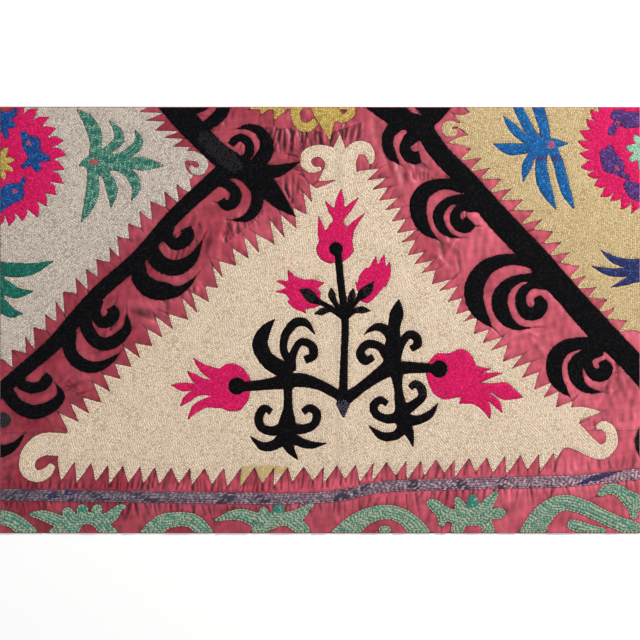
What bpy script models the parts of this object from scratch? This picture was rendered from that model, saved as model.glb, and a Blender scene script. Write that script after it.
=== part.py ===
# Suzani cloth: a cut length of four joined satin panels, 0.90 m wide and 0.60 m deep,
# with fields, vines, flowers and border scrolls filled in with raised thread.
# It lies face up on z = 0. +X runs along the stripe to the right, +Y up the cloth.
import bmesh
import bpy
import math
import numpy as np
from mathutils.geometry import delaunay_2d_cdt

# Driving sizes, in metres
CLOTH_WIDTH = 0.900
SATIN_THICK = 0.0010
THREAD_LOW = 0.0013
THREAD_THICK = 0.0010
THREAD_GAP = 0.0005
SEAM_GAP = 0.0004
MERGE_DISTANCE = 0.0001
STRAIGHT = math.radians(1.2)

# The design is set out on a grid of 640 steps across the cloth, with rows counted downwards
GRID_COLUMNS = 640
STEP = CLOTH_WIDTH / GRID_COLUMNS
LEFT, RIGHT, TOP, FOOT = 0.0, 640.0, 107.0, 533.0
MIDDLE_COLUMN, MIDDLE_ROW = 320.0, 320.0
SEAM_COLUMN = 341.0
SEAM_ROWS = {"left": 433.0, "right": 431.0}
THREAD_INSET = 0.6
CURVE_STEP = 7.5
FAR = 60.0

# Thread and cloth colours, linear RGB
COLOURS = {
    "satin": (0.42, 0.07, 0.13),
    "cream": (0.72, 0.58, 0.40),
    "grey_white": (0.56, 0.50, 0.45),
    "straw": (0.66, 0.50, 0.22),
    "gold": (0.58, 0.42, 0.11),
    "black": (0.010, 0.010, 0.012),
    "pink": (0.80, 0.01, 0.15),
    "teal": (0.08, 0.31, 0.22),
    "dark_green": (0.02, 0.16, 0.11),
    "blue": (0.02, 0.13, 0.37),
    "royal": (0.02, 0.06, 0.28),
    "purple": (0.09, 0.03, 0.19),
    "navy": (0.03, 0.04, 0.14),
    "mint": (0.40, 0.60, 0.42),
    "lavender": (0.22, 0.19, 0.28),
    "border_green": (0.16, 0.40, 0.28),
}


# Grid geometry

def at(x, y):
    """The place in metres of a grid point."""
    return (x - MIDDLE_COLUMN) * STEP, (MIDDLE_ROW - y) * STEP


def wave(n, spread):
    """An even-handed unevenness for the nth tooth, between -spread and +spread."""
    return spread * math.sin(2.4 * n + 1.1 * math.sin(1.7 * n))


def area_of(ring):
    return sum(a[0] * b[1] - b[0] * a[1] for a, b in zip(ring, ring[1:] + ring[:1])) / 2


def turned(ring):
    """The ring with its inside on the left."""
    return ring if area_of(ring) > 0 else ring[::-1]


def smooth(rows, spacing):
    """A soft curve through rows of numbers, with points about spacing apart."""
    ends = [rows[0]] + list(rows) + [rows[-1]]
    dense = []
    for a, b, c, d in zip(ends, ends[1:], ends[2:], ends[3:]):
        count = max(1, round(math.dist(b[:2], c[:2]) / spacing))
        for n in range(count):
            t = n / count
            dense.append(tuple(
                0.5 * (2 * q + (r - p) * t + (2 * p - 5 * q + 4 * r - s) * t * t
                       + (3 * q - p - 3 * r + s) * t ** 3)
                for p, q, r, s in zip(a, b, c, d)))
    return dense + [tuple(rows[-1])]


def stroke(rows):
    """Quads along a curve. The columns are x, y and the width there. No width is a point."""
    path = smooth(rows, CURVE_STEP)
    sides = []
    for n, (x, y, width) in enumerate(path):
        before, after = path[max(n - 1, 0)], path[min(n + 1, len(path) - 1)]
        dx, dy = after[0] - before[0], after[1] - before[1]
        length = math.hypot(dx, dy) or 1.0
        half = max(width, 0.0) / 2 / length
        sides.append(((x - dy * half, y + dx * half), (x + dy * half, y - dx * half)))
    shapes = []
    for (a, b), (c, d) in zip(sides, sides[1:]):
        corners = [a, b, d, c]
        ring = [p for n, p in enumerate(corners) if math.dist(p, corners[n - 1]) > 0.02]
        if len(ring) > 2 and abs(area_of(ring)) > 0.05:
            shapes.append(turned(ring))
    return shapes


def disc(x, y, radius, sides=12):
    turns = [2 * math.pi * n / sides for n in range(sides)]
    return [[(x + radius * math.cos(a), y + radius * math.sin(a)) for a in turns]]


def teeth(line, count, first_tip, last_tip, growth=0.0, uneven=0.12):
    """Valley, tip, valley, tip along a line. Each tip stands off its valley by a step."""
    path = smooth(line, 4.0)
    runs = [0.0]
    for a, b in zip(path, path[1:]):
        runs.append(runs[-1] + math.dist(a, b))

    def along(distance):
        for n in range(1, len(path)):
            if runs[n] >= distance or n == len(path) - 1:
                share = (distance - runs[n - 1]) / (runs[n] - runs[n - 1])
                a, b = path[n - 1], path[n]
                return a[0] + (b[0] - a[0]) * share, a[1] + (b[1] - a[1]) * share

    ring = []
    for n in range(count):
        t = (n + wave(n, uneven)) / count if n else 0.0
        t = t + growth * t * (t - 1)
        x, y = along(t * runs[-1])
        deep = 1 + wave(n + 5, 1.3 * uneven)
        tip_x = (first_tip[0] + (last_tip[0] - first_tip[0]) * t) * deep
        tip_y = (first_tip[1] + (last_tip[1] - first_tip[1]) * t) * deep
        ring += [(x, y), (x + tip_x, y + tip_y)]
    return ring + [path[-1]]


def rosette(x, y, tip_radius, valley_radius, points, start=0.0, lean=0.25):
    """A ring of thorn-like teeth that lean one way round."""
    ring = []
    for n in range(points):
        turn = 2 * math.pi / points
        angle = math.radians(start) + turn * (n + wave(n, 0.08))
        low = valley_radius * (1 + wave(n + 3, 0.02))
        high = tip_radius * (1 + wave(n + 7, 0.03))
        ring.append((x + low * math.cos(angle), y + low * math.sin(angle)))
        full = (low + high) / 2
        ring.append((x + full * math.cos(angle + turn * 0.12), y + full * math.sin(angle + turn * 0.12)))
        tip = angle + turn * (0.5 + lean)
        ring.append((x + high * math.cos(tip), y + high * math.sin(tip)))
    return [ring]


def within(shape, places):
    """Which of the places lie inside a closed shape, also where its line crosses itself."""
    start = np.array(shape)
    end = np.roll(start, -1, axis=0)
    x, y = places[:, :1], places[:, 1:]
    side = (end[:, 0] - start[:, 0]) * (y - start[:, 1]) - (x - start[:, 0]) * (end[:, 1] - start[:, 1])
    upwards = (start[:, 1] <= y) & (end[:, 1] > y) & (side > 0)
    downwards = (start[:, 1] > y) & (end[:, 1] <= y) & (side < 0)
    return upwards.sum(axis=1) != downwards.sum(axis=1)


def overlay(shapes_in, shapes_out):
    """The triangles of the first shapes without the second, as points and corners."""
    points, edges = [], []
    for ring in shapes_in + shapes_out:
        first = len(points)
        points += ring
        edges += [(first + n, first + (n + 1) % len(ring)) for n in range(len(ring))]
    result = delaunay_2d_cdt(points, edges, [], 0, 1e-3, False)
    made = [tuple(point) for point in result[0]]
    faces = [list(corners) for corners in result[2]]
    middles = np.array([[sum(made[n][k] for n in corners) / 3 for k in (0, 1)] for corners in faces])
    kept = np.zeros(len(faces), bool)
    for shape in shapes_in:
        kept |= within(shape, middles)
    for shape in shapes_out:
        kept &= ~within(shape, middles)
    return made, [corners for corners, keep in zip(faces, kept) if keep]


def outer_rings(mesh_points, mesh_faces):
    """The closed edge lines of a set of triangles, each with its inside on the left."""
    follows = {}
    edges = set()
    for corners in mesh_faces:
        for a, b in zip(corners, corners[1:] + corners[:1]):
            edges.add((a, b))
    for a, b in edges:
        if (b, a) not in edges:
            follows.setdefault(a, []).append(b)
    rings = []
    while follows:
        start = next(iter(follows))
        ring, now = [], start
        while now in follows:
            ring.append(now)
            after = follows[now].pop()
            if not follows[now]:
                del follows[now]
            now = after
        rings.append([tuple(mesh_points[n]) for n in ring])
    return rings


def grown(ring, distance):
    """The ring moved outwards, with its sharp points held short."""
    moved = []
    for n, (x, y) in enumerate(ring):
        px, py = ring[n - 1]
        qx, qy = ring[(n + 1) % len(ring)]
        a, b = math.dist((x, y), (px, py)) or 1.0, math.dist((x, y), (qx, qy)) or 1.0
        one = ((y - py) / a, (px - x) / a)
        two = ((qy - y) / b, (x - qx) / b)
        sx, sy = one[0] + two[0], one[1] + two[1]
        size = math.hypot(sx, sy)
        if size < 0.2:
            sx, sy, size = (x - px) / a, (y - py) / a, 1.0
            reach = 1.6
        else:
            reach = min(2.0 / size, 1.6)
        moved.append((x + sx / size * reach * distance, y + sy / size * reach * distance))
    return moved


def clearance(ring, distance):
    """Shapes that together cover a ring and all that lies within a distance of it."""
    shapes = [ring, grown(ring, distance)]
    for (ax, ay), (bx, by) in zip(ring, ring[1:] + ring[:1]):
        length = math.dist((ax, ay), (bx, by))
        if length > 0.05:
            nx, ny = (by - ay) / length * distance, (ax - bx) / length * distance
            shapes.append([(ax, ay), (bx, by), (bx + nx, by + ny), (ax + nx, ay + ny)])
    return shapes


def islands(faces):
    """Groups of triangles that share edges."""
    by_edge = {}
    for n, corners in enumerate(faces):
        for a, b in zip(corners, corners[1:] + corners[:1]):
            by_edge.setdefault(frozenset((a, b)), []).append(n)
    near = {n: set() for n in range(len(faces))}
    for pair in by_edge.values():
        for n in pair:
            near[n].update(pair)
    groups, seen = [], set()
    for n in range(len(faces)):
        if n in seen:
            continue
        group, wait = [], [n]
        seen.add(n)
        while wait:
            now = wait.pop()
            group.append(now)
            for other in near[now]:
                if other not in seen:
                    seen.add(other)
                    wait.append(other)
        groups.append(group)
    return groups


# Blender objects

def clear_scene():
    for old in list(bpy.data.objects):
        bpy.data.objects.remove(old, do_unlink=True)


def material(slot):
    made = bpy.data.materials.get(slot) or bpy.data.materials.new(slot)
    made.use_nodes = True
    shader = made.node_tree.nodes["Principled BSDF"]
    shader.inputs["Base Color"].default_value = (*COLOURS[slot], 1.0)
    shader.inputs["Roughness"].default_value = 0.35 if slot == "satin" else 0.8
    return made


def solid(name, flat, slot, thick, parts):
    """The flat or folded sheet in a bmesh, made thick upwards by Solidify."""
    bmesh.ops.recalc_face_normals(flat, faces=flat.faces)
    if sum(face.normal.z for face in flat.faces) < 0:
        bmesh.ops.reverse_faces(flat, faces=flat.faces)
    mesh = bpy.data.meshes.new(name)
    flat.to_mesh(mesh)
    flat.free()
    made = bpy.data.objects.new(name, mesh)
    parts.objects.link(made)
    made.data.materials.append(material(slot))
    shell = made.modifiers.new("thickness", "SOLIDIFY")
    shell.thickness = thick
    shell.offset = 1.0
    shell.use_even_offset = False
    bpy.context.view_layer.update()
    ready = bpy.data.meshes.new_from_object(made.evaluated_get(bpy.context.evaluated_depsgraph_get()))
    made.modifiers.clear()
    made.data = ready
    ready.name = name
    return made


def keep_largest(flat):
    """Only the largest of the areas whose triangles share edges stays."""
    flat.faces.index_update()
    flat.faces.ensure_lookup_table()
    groups = islands([[v.index for v in face.verts] for face in flat.faces])
    groups.sort(key=lambda group: -sum(flat.faces[n].calc_area() for n in group))
    spare = [flat.faces[n] for group in groups[1:] for n in group]
    bmesh.ops.delete(flat, geom=spare, context="FACES")


def thread_piece(name, shapes, cuts, slot, parts, finished):
    """One raised area of stitches, cut clear of the cloth's edges and of finished neighbours."""
    clear = THREAD_GAP / STEP
    low_x, high_x = LEFT + THREAD_INSET, RIGHT - THREAD_INSET
    low_y, high_y = TOP + THREAD_INSET, FOOT - THREAD_INSET
    frame = [
        [(low_x - FAR, low_y - FAR), (high_x + FAR, low_y - FAR), (high_x + FAR, low_y), (low_x - FAR, low_y)],
        [(low_x - FAR, high_y), (high_x + FAR, high_y), (high_x + FAR, high_y + FAR), (low_x - FAR, high_y + FAR)],
        [(low_x - FAR, low_y - FAR), (low_x, low_y - FAR), (low_x, high_y + FAR), (low_x - FAR, high_y + FAR)],
        [(high_x, low_y - FAR), (high_x + FAR, low_y - FAR), (high_x + FAR, high_y + FAR), (high_x, high_y + FAR)],
    ]
    near = [shape for other in cuts for ring in finished[other] for shape in clearance(ring, clear)]
    points, faces = overlay(shapes, frame + near)
    groups = islands(faces)
    sizes = [sum(abs(area_of([tuple(points[c]) for c in faces[n]])) for n in group) for group in groups]
    group = groups[sizes.index(max(sizes))]
    flat = bmesh.new()
    places = {}
    for n in group:
        for corner in faces[n]:
            if corner not in places:
                x, y = at(*points[corner])
                places[corner] = flat.verts.new((x, y, THREAD_LOW))
    for n in group:
        flat.faces.new([places[corner] for corner in faces[n]])
    bmesh.ops.remove_doubles(flat, verts=flat.verts, dist=MERGE_DISTANCE)
    bmesh.ops.recalc_face_normals(flat, faces=flat.faces)
    bmesh.ops.dissolve_limit(
        flat, angle_limit=math.radians(1.0), verts=flat.verts, edges=flat.edges, use_dissolve_boundaries=False)
    straight = [v for v in flat.verts if len(v.link_edges) == 2 and v.calc_edge_angle(9.0) < STRAIGHT]
    bmesh.ops.dissolve_verts(flat, verts=straight)
    bmesh.ops.triangulate(flat, faces=flat.faces)
    keep_largest(flat)
    flat.verts.index_update()
    rings = outer_rings(
        [((v.co.x / STEP) + MIDDLE_COLUMN, MIDDLE_ROW - v.co.y / STEP) for v in flat.verts],
        [[v.index for v in face.verts] for face in flat.faces])
    rings = [turned(ring) for ring in rings]
    finished[name] = [max(rings, key=lambda ring: abs(area_of(ring)))]
    return solid(name, flat, slot, THREAD_THICK, parts)


# Satin folds

# Each fold of the free satin: x, y, length, heading in degrees, width and height in millimetres
FOLDS = [
    (232, 232, 44, 118, 13, 2.2), (214, 243, 38, 122, 11, 1.8), (208, 226, 30, 128, 10, 1.5),
    (152, 312, 26, 60, 9, 1.8), (76, 388, 30, 40, 10, 2.0), (42, 430, 30, 12, 9, 1.2),
    (120, 338, 30, 140, 10, 1.6), (28, 334, 26, 135, 9, 1.3), (150, 232, 22, 140, 9, 1.2),
    (414, 186, 36, 60, 11, 2.0), (398, 180, 30, 74, 9, 1.6), (441, 262, 34, 44, 11, 1.8),
    (452, 246, 34, 46, 10, 1.6), (505, 222, 26, 62, 9, 1.4), (536, 345, 32, 52, 10, 1.7),
    (530, 332, 26, 38, 9, 1.5), (624, 388, 32, 66, 11, 2.2), (610, 396, 30, 74, 10, 1.8),
    (632, 412, 24, 80, 9, 1.6), (592, 286, 20, 40, 8, 1.0), (286, 140, 24, 84, 9, 1.8),
    (277, 148, 26, 80, 8, 1.4), (297, 140, 18, 96, 8, 1.4), (360, 128, 24, 88, 9, 1.8),
    (370, 138, 20, 100, 8, 1.4), (392, 202, 26, 64, 9, 1.4), (482, 156, 0, 50, 8, 0.0),
    (250, 226, 26, 134, 9, 1.2), (10, 474, 26, 78, 9, 1.4), (630, 462, 20, 86, 9, 1.2),
]
PUCKERS = {"first_column": 14, "pitch": 13.6, "count": 46, "long": 13, "width": 6.0, "height": 0.9}


def stripe_middle(x):
    """The row of the stripe's middle line at a column."""
    for (ax, ay, _), (bx, by, _) in zip(STRIPE, STRIPE[1:]):
        if ax <= x <= bx:
            return ay + (by - ay) * (x - ax) / (bx - ax)
    return STRIPE[-1][1]


def all_folds():
    folds = [fold for fold in FOLDS if fold[2] > 0]
    for n in range(PUCKERS["count"]):
        x = PUCKERS["first_column"] + n * PUCKERS["pitch"] + wave(n, 3.0)
        length = PUCKERS["long"] * (1 + wave(n + 2, 0.25))
        folds.append((
            x, stripe_middle(x) + 14.5, length, 90 + wave(n + 4, 14),
            PUCKERS["width"] * (1 + wave(n, 0.2)), PUCKERS["height"] * (1 + wave(n + 1, 0.25))))
    return folds


def rise(x, y, folds, edges, rings):
    """How far the satin lifts at a grid point, in metres. It stays down under and beside the stitches."""
    most = 0.0
    for fx, fy, length, heading, width, height in folds:
        dx, dy = x - fx, y - fy
        if abs(dx) > length or abs(dy) > length:
            continue
        turn = math.radians(heading)
        lengthways = (dx * math.cos(turn) + dy * math.sin(turn)) / (length / 2)
        across = (dy * math.cos(turn) - dx * math.sin(turn)) / (width / 2)
        if abs(lengthways) < 1 and abs(across) < 1:
            most = max(most, height * (1 - lengthways ** 2) * (0.5 + 0.5 * math.cos(math.pi * across)))
    if most == 0.0 or covered(x, y, rings):
        return 0.0
    near = 1e9
    for (ax, ay), (bx, by) in edges:
        if min(ax, bx) - 8 > x or max(ax, bx) + 8 < x or min(ay, by) - 8 > y or max(ay, by) + 8 < y:
            continue
        lx, ly = bx - ax, by - ay
        share = max(0.0, min(1.0, ((x - ax) * lx + (y - ay) * ly) / max(lx * lx + ly * ly, 1e-9)))
        near = min(near, math.dist((x, y), (ax + lx * share, ay + ly * share)))
    free = max(0.0, min(1.0, (near - 2.5) / 5.0))
    return most * 0.001 * free


def covered(x, y, rings):
    for ring in rings:
        inside = False
        for (ax, ay), (bx, by) in zip(ring, ring[1:] + ring[:1]):
            if (ay > y) != (by > y) and x < ax + (y - ay) / (by - ay) * (bx - ax):
                inside = not inside
        if inside:
            return True
    return False


def satin_panel(name, low_x, high_x, low_y, high_y, folds, rings, parts):
    """One panel of the ground, flat but for its folds, as a sheet of even thickness."""
    edges = [pair for ring in rings for pair in zip(ring, ring[1:] + ring[:1])]
    border = [(low_x, low_y), (high_x, low_y), (high_x, high_y), (low_x, high_y)]
    folds = [fold for fold in folds if (
        low_x + fold[2] / 2 + 2 < fold[0] < high_x - fold[2] / 2 - 2
        and low_y + fold[2] / 2 + 2 < fold[1] < high_y - fold[2] / 2 - 2)]
    points = list(border)
    margin = 1.0
    for x, y in (point for ring in rings for point in ring):
        inside = low_x + margin < x < high_x - margin and low_y + margin < y < high_y - margin
        beside = any(math.dist((x, y), fold[:2]) < fold[2] / 2 + 3 for fold in folds)
        if inside and beside and min(math.dist((x, y), p) for p in points) > 1.2:
            points.append((x, y))
    for fx, fy, length, heading, width, height in folds:
        turn = math.radians(heading)
        rows = max(2, round(length / 7.0))
        for n in range(rows + 1):
            t = 2 * n / rows - 1
            for across in ((-1, -0.5, 0, 0.5, 1) if abs(t) < 0.99 else (0,)):
                x = fx + t * length / 2 * math.cos(turn) - across * width / 2 * math.sin(turn)
                y = fy + t * length / 2 * math.sin(turn) + across * width / 2 * math.cos(turn)
                inside = low_x + margin < x < high_x - margin and low_y + margin < y < high_y - margin
                if inside and min(math.dist((x, y), p) for p in points) > 1.6:
                    points.append((x, y))
    result = delaunay_2d_cdt(points, [], [[0, 1, 2, 3]], 1, 1e-4, True)
    flat = bmesh.new()
    verts = []
    for x, y in result[0]:
        mx, my = at(x, y)
        verts.append(flat.verts.new((mx, my, rise(x, y, folds, edges, rings))))
    for corners in result[2]:
        flat.faces.new([verts[n] for n in corners])
    bmesh.ops.dissolve_limit(
        flat, angle_limit=math.radians(0.3), verts=flat.verts, edges=flat.edges, use_dissolve_boundaries=False)
    bmesh.ops.triangulate(flat, faces=flat.faces)
    return solid(name, flat, "satin", SATIN_THICK, parts)


# Layout of the fields. Lines have the columns x and y.

TRIANGLE_RIGHT = [
    (361, 171), (376, 197), (388, 217), (398, 237), (408, 257), (420, 273), (443, 297), (459, 319), (491, 352),
    (521, 378), (551, 405), (580, 420),
]
TRIANGLE_FOOT = [
    (567, 444), (554, 452), (500, 456), (440, 459), (385, 462), (320, 466), (240, 467), (160, 467), (74, 461), (58, 458),
]
TRIANGLE_LEFT = [
    (68, 431), (97, 408), (123, 377), (159, 341), (193, 317), (213, 299), (227, 273), (264, 251), (296, 230),
    (311, 206), (315, 188),
]
GREY_UPPER = [(132, 103), (151, 127), (182, 154)]
GREY_LOWER = [(189, 176), (144, 206), (104, 252), (71, 282), (37, 323), (2, 359)]
STRAW_LOWER = [(472, 148), (509, 186), (550, 227), (590, 279), (636, 330)]
STRIPE = [
    (-5, 494.5, 11), (80, 496, 11.5), (160, 497.5, 11), (240, 498.5, 11), (300, 498.5, 10.5), (340, 495.5, 11),
    (385, 486.5, 11), (460, 484.5, 11.5), (500, 483.5, 11), (560, 481.5, 11), (590, 479.5, 10.5), (645, 473, 11),
]

# Curls and points at the corners of the fields. Rows have the columns x, y and width.
TRIANGLE_ENDS = [
    [(338, 180, 40), (336, 164, 24), (328, 154, 15), (317, 151, 12), (307, 156, 12), (307, 166, 10), (315, 170, 6),
     (321, 169, 3)],
    [(338, 172, 30), (339, 154, 17), (340, 134, 0)],
    [(342, 174, 32), (348, 158, 18), (357, 148, 13), (367, 150, 12), (371, 159, 7), (370, 164, 3)],
    [(100, 446, 34), (80, 446, 24), (60, 444.5, 23), (42, 445, 22), (29, 456, 17), (28, 470, 15), (38, 476, 12),
     (48, 472, 10), (53, 465, 6)],
    [(556, 430, 40), (574, 436, 26), (588, 446, 18), (601, 452, 15), (611, 444, 12), (610, 431, 11), (601, 425, 8),
     (596, 428, 3)],
    [(560, 418, 20), (584, 413, 12), (601, 412, 0)],
]
GREY_ENDS = [
    [(172, 164, 26), (184, 156, 11), (195, 156.5, 9), (203, 162, 9), (202, 170, 8), (194, 171, 7), (190, 166, 4)],
    [(170, 170, 20), (184, 174, 7), (192, 177, 4)],
]
STRAW_ENDS = [
    [(450, 127, 9), (460, 126, 5), (472, 128, 18), (490, 130, 24)],
    [(490, 120, 40), (472, 120, 17), (462, 119, 8), (454, 115, 0)],
    [(490, 108, 24), (474, 110, 10), (464, 107, 0)],
    [(492, 144, 24), (472, 142, 14), (462, 141, 9), (448, 143, 0)],
]

# Black vines of the satin bands
VINE_LEFT = [
    [(166, 98, 24), (188, 123, 24), (212, 148, 22), (232, 164, 24), (250, 172, 22)],
    [(226, 102, 12), (220, 115, 13), (209, 124, 11), (200, 128, 8)],
    [(180, 108, 12), (195, 111, 7), (208, 107, 3)],
    [(237, 129, 0), (246, 127, 5), (258, 130, 9), (266, 141, 13), (265, 154, 15), (254, 168, 16)],
    [(240, 164, 10), (249, 154, 9), (249, 144, 9), (241, 138, 8), (234, 141, 8), (231, 145, 7)],
    [(250, 171, 20), (272, 172, 14), (286, 168, 9), (300, 162, 0)],
    [(256, 174, 16), (268, 188, 20), (280, 202, 15), (296, 217, 0)],
    [(248, 174, 20), (257, 190, 13), (256, 207, 12), (246, 218, 8), (231, 220, 0)],
    [(212, 180, 12), (227, 184, 10), (236, 193, 11), (233, 203, 11), (225, 205, 10), (221, 200, 9)],
    [(248, 166, 22), (226, 171, 18), (198, 194, 15), (171, 220, 15), (139, 257, 15), (102, 290, 15), (78, 316, 15),
     (55, 343, 15), (30, 365, 14), (-8, 398, 14)],
    [(168, 226, 14), (168, 238, 11), (175, 244, 12), (184, 241, 13), (188, 233, 13), (186, 228, 11)],
    [(150, 246, 14), (157, 260, 16), (168, 267, 16), (180, 267, 15), (193, 258, 10), (203, 239, 0)],
    [(137, 262, 16), (141, 279, 17), (152, 289, 19), (164, 291, 18), (178, 291, 10), (189, 284, 5), (197, 275, 0)],
    [(97, 300, 14), (96, 314, 10), (101, 322, 11), (110, 320, 12), (114, 312, 12), (111, 307, 9)],
    [(84, 316, 14), (88, 330, 13), (96, 341, 13), (106, 344, 13), (118, 339, 12), (127, 328, 9), (127, 313, 0)],
    [(68, 332, 18), (70, 350, 13), (77, 361, 13), (90, 367, 12), (103, 365, 9), (113, 359, 5), (120, 353, 0)],
    [(18, 372, 16), (22, 384, 11), (32, 388, 11), (43, 385, 11), (47, 378, 11), (44, 375, 7)],
    [(4, 386, 16), (14, 402, 13), (24, 409, 14), (36, 412, 14), (52, 406, 12), (61, 395, 8), (56, 384, 0)],
]
VINE_RIGHT = [
    [(368, 98, 18), (392, 113, 22), (412, 121, 22), (430, 126, 18)],
    [(448, 90, 26), (435, 107, 26), (425, 119, 24), (423, 128, 18)],
    [(412, 98, 30), (416, 112, 26), (422, 126, 22)],
    [(400, 122, 16), (389, 134, 12), (388, 146, 11), (392, 156, 9), (400, 165, 0)],
    [(426, 126, 18), (412, 137, 14), (405, 148, 11), (409, 156, 12), (416, 158, 13), (420, 157, 12)],
    [(419, 119, 18), (426, 132, 19), (436, 148, 19), (449, 163, 19), (466, 180, 20), (497, 217, 24), (538, 260, 24),
     (551, 276, 25), (572, 300, 25), (598, 328, 25), (625, 355, 23), (652, 384, 23)],
    [(464, 186, 16), (448, 184, 11), (434, 186, 13), (422, 194, 16), (418, 208, 17), (422, 224, 13), (430, 234, 7),
     (439, 240, 0)],
    [(474, 200, 14), (454, 200, 9), (443, 206, 10), (438, 216, 11), (442, 228, 9), (450, 235, 5), (460, 238, 0)],
    [(478, 206, 14), (460, 208, 9), (455, 216, 10), (459, 225, 12), (467, 225, 15), (471, 221, 14)],
    [(538, 262, 18), (520, 260, 11), (505, 260, 12), (487, 267, 16), (475, 284, 19), (475, 302, 18), (483, 317, 11),
     (493, 328, 0)],
    [(544, 278, 14), (524, 278, 8), (510, 283, 11), (501, 294, 15), (500, 306, 16), (506, 319, 13), (517, 327, 6),
     (533, 328, 0)],
    [(552, 284, 14), (532, 285, 8), (522, 293, 10), (521, 304, 11), (527, 313, 13), (537, 312, 14), (541, 303, 13),
     (537, 297, 8)],
    [(604, 344, 18), (584, 343, 12), (568, 346, 14), (557, 355, 16), (554, 368, 16), (557, 381, 13), (563, 389, 8),
     (570, 397, 0)],
    [(600, 348, 16), (585, 356, 14), (576, 364, 15), (576, 376, 14), (583, 387, 9), (592, 391, 5), (602, 392, 0)],
    [(600, 346, 14), (589, 356, 9), (588, 366, 10), (594, 374, 12), (603, 374, 14), (606, 367, 13), (602, 361, 8)],
]

# The black stems of the spray on the triangle
SPRAY_MIDDLE = [
    [(337, 246, 7), (341, 285, 7), (345, 320, 7), (344, 360, 7), (343, 396, 9), (343, 404, 13), (343.5, 418, 0)],
    [(299, 290, 0), (305, 292, 8), (311, 297, 11), (317, 301, 6), (328, 306, 4), (345, 317, 6)],
    [(331, 288, 0), (331.5, 294, 7), (334, 301, 5), (345, 317, 4)],
    [(314, 314, 0), (321, 312, 7), (331, 309, 6), (345, 319, 5)],
    [(353, 288, 0), (352, 295, 7), (350, 303, 5), (345, 317, 4)],
    [(371, 311, 0), (362, 310, 7), (354, 311, 5), (345, 319, 5)],
    [(374, 281, 0), (369, 288, 8), (363, 294, 10), (358, 299, 5), (352, 307, 4), (345, 317, 6)],
]
SPRAY_LEFT = [
    [(238, 387, 10), (262, 385, 10), (283, 382, 14), (300, 380, 14), (322, 386, 10), (342, 398, 10)],
    [(275, 319, 0), (266, 329, 10), (260, 343, 15), (265, 357, 15), (276, 366, 16), (292, 374, 16)],
    [(292, 364, 8), (284, 352, 7), (285, 336, 8), (295, 323, 9), (306, 323, 7), (315, 335, 0)],
    [(290, 370, 12), (293, 354, 7), (301, 342, 7), (312, 346, 8), (313, 356, 8), (305, 360, 8)],
    [(289, 378, 12), (288, 395, 8), (288, 410, 10), (287, 425, 18), (286, 438, 12)],
    [(284, 428, 12), (272, 431, 9), (261, 427, 8), (259, 416, 8), (265, 408, 7), (271, 412, 7)],
    [(290, 428, 12), (304, 429, 9), (315, 423, 8), (316, 412, 8), (309, 408, 7), (303, 412, 7)],
    [(286, 436, 14), (274, 445, 10), (262, 446, 8), (250, 436, 0)],
    [(288, 436, 12), (300, 442, 9), (312, 445, 7), (327, 443, 0)],
    [(286, 438, 14), (290, 449, 9), (298, 460, 0)],
]
SPRAY_RIGHT = [
    [(342, 402, 12), (362, 387, 10), (378, 375, 13), (392, 366, 18)],
    [(399, 299, 0), (397, 312, 13), (394, 326, 12), (393, 342, 15), (392, 364, 18)],
    [(394, 346, 12), (388, 332, 10), (376, 327, 7), (363, 335, 0)],
    [(390, 360, 12), (380, 347, 8), (368, 344, 8), (360, 353, 8), (366, 361, 8), (373, 357, 7)],
    [(395, 357, 12), (401, 344, 8), (408, 335, 8), (416, 337, 8), (417, 345, 8), (411, 349, 6)],
    [(384, 370, 14), (405, 368, 13), (428, 368, 9), (439, 369, 9)],
    [(396, 366, 16), (398, 388, 8), (400, 404, 12), (402, 418, 16), (404, 428, 12)],
    [(402, 412, 12), (413, 405, 9), (422, 397, 8), (421, 388, 8), (414, 384, 7), (410, 388, 6)],
    [(402, 416, 14), (388, 419, 9), (376, 414, 8), (374, 405, 8), (381, 400, 7), (387, 404, 6)],
    [(404, 420, 14), (418, 420, 9), (430, 414, 7), (438, 403, 0)],
    [(404, 426, 12), (396, 435, 9), (382, 436, 8), (368, 425, 0)],
    [(406, 426, 12), (410, 435, 8), (413, 447, 0)],
]

# Pink flowers of the spray
TULIP_TOP = [
    [(337, 262, 14), (336, 256, 32), (335, 248, 37), (336, 240, 31), (337, 232, 22), (338, 224, 14)],
    [(337, 236, 16), (338, 224, 11), (339, 212, 10), (340, 201, 8), (341, 189, 0)],
    [(339, 220, 8), (332, 211, 6), (325, 201, 0)],
    [(339, 219, 8), (349, 208, 6), (359, 197, 0)],
    [(327, 248, 12), (322, 234, 8), (318.5, 216, 0)],
    [(346, 246, 12), (350, 230, 8), (365, 213, 0)],
]
BUD_LEFT = [
    [(275, 292, 0), (286, 291, 6), (296, 296, 16), (308, 298, 22), (320, 298, 14)],
    [(276, 281, 0), (287, 284, 6), (300, 289, 14), (314, 290, 14)],
    [(288, 270, 0), (292, 279, 8), (302, 286, 13), (314, 285, 11), (324, 283, 0)],
    [(292, 298, 12), (298, 305, 10), (306, 313, 0)],
]
BUD_RIGHT = [
    [(364, 302, 6), (367, 292, 20), (371, 282, 26), (376, 273, 22)],
    [(370, 284, 12), (373, 270, 9), (376, 256, 0)],
    [(377, 280, 12), (381, 268, 9), (384, 254, 0)],
    [(380, 284, 12), (386, 274, 9), (390, 262, 0)],
    [(366, 294, 10), (360, 288, 7), (355, 282, 0)],
]
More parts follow.
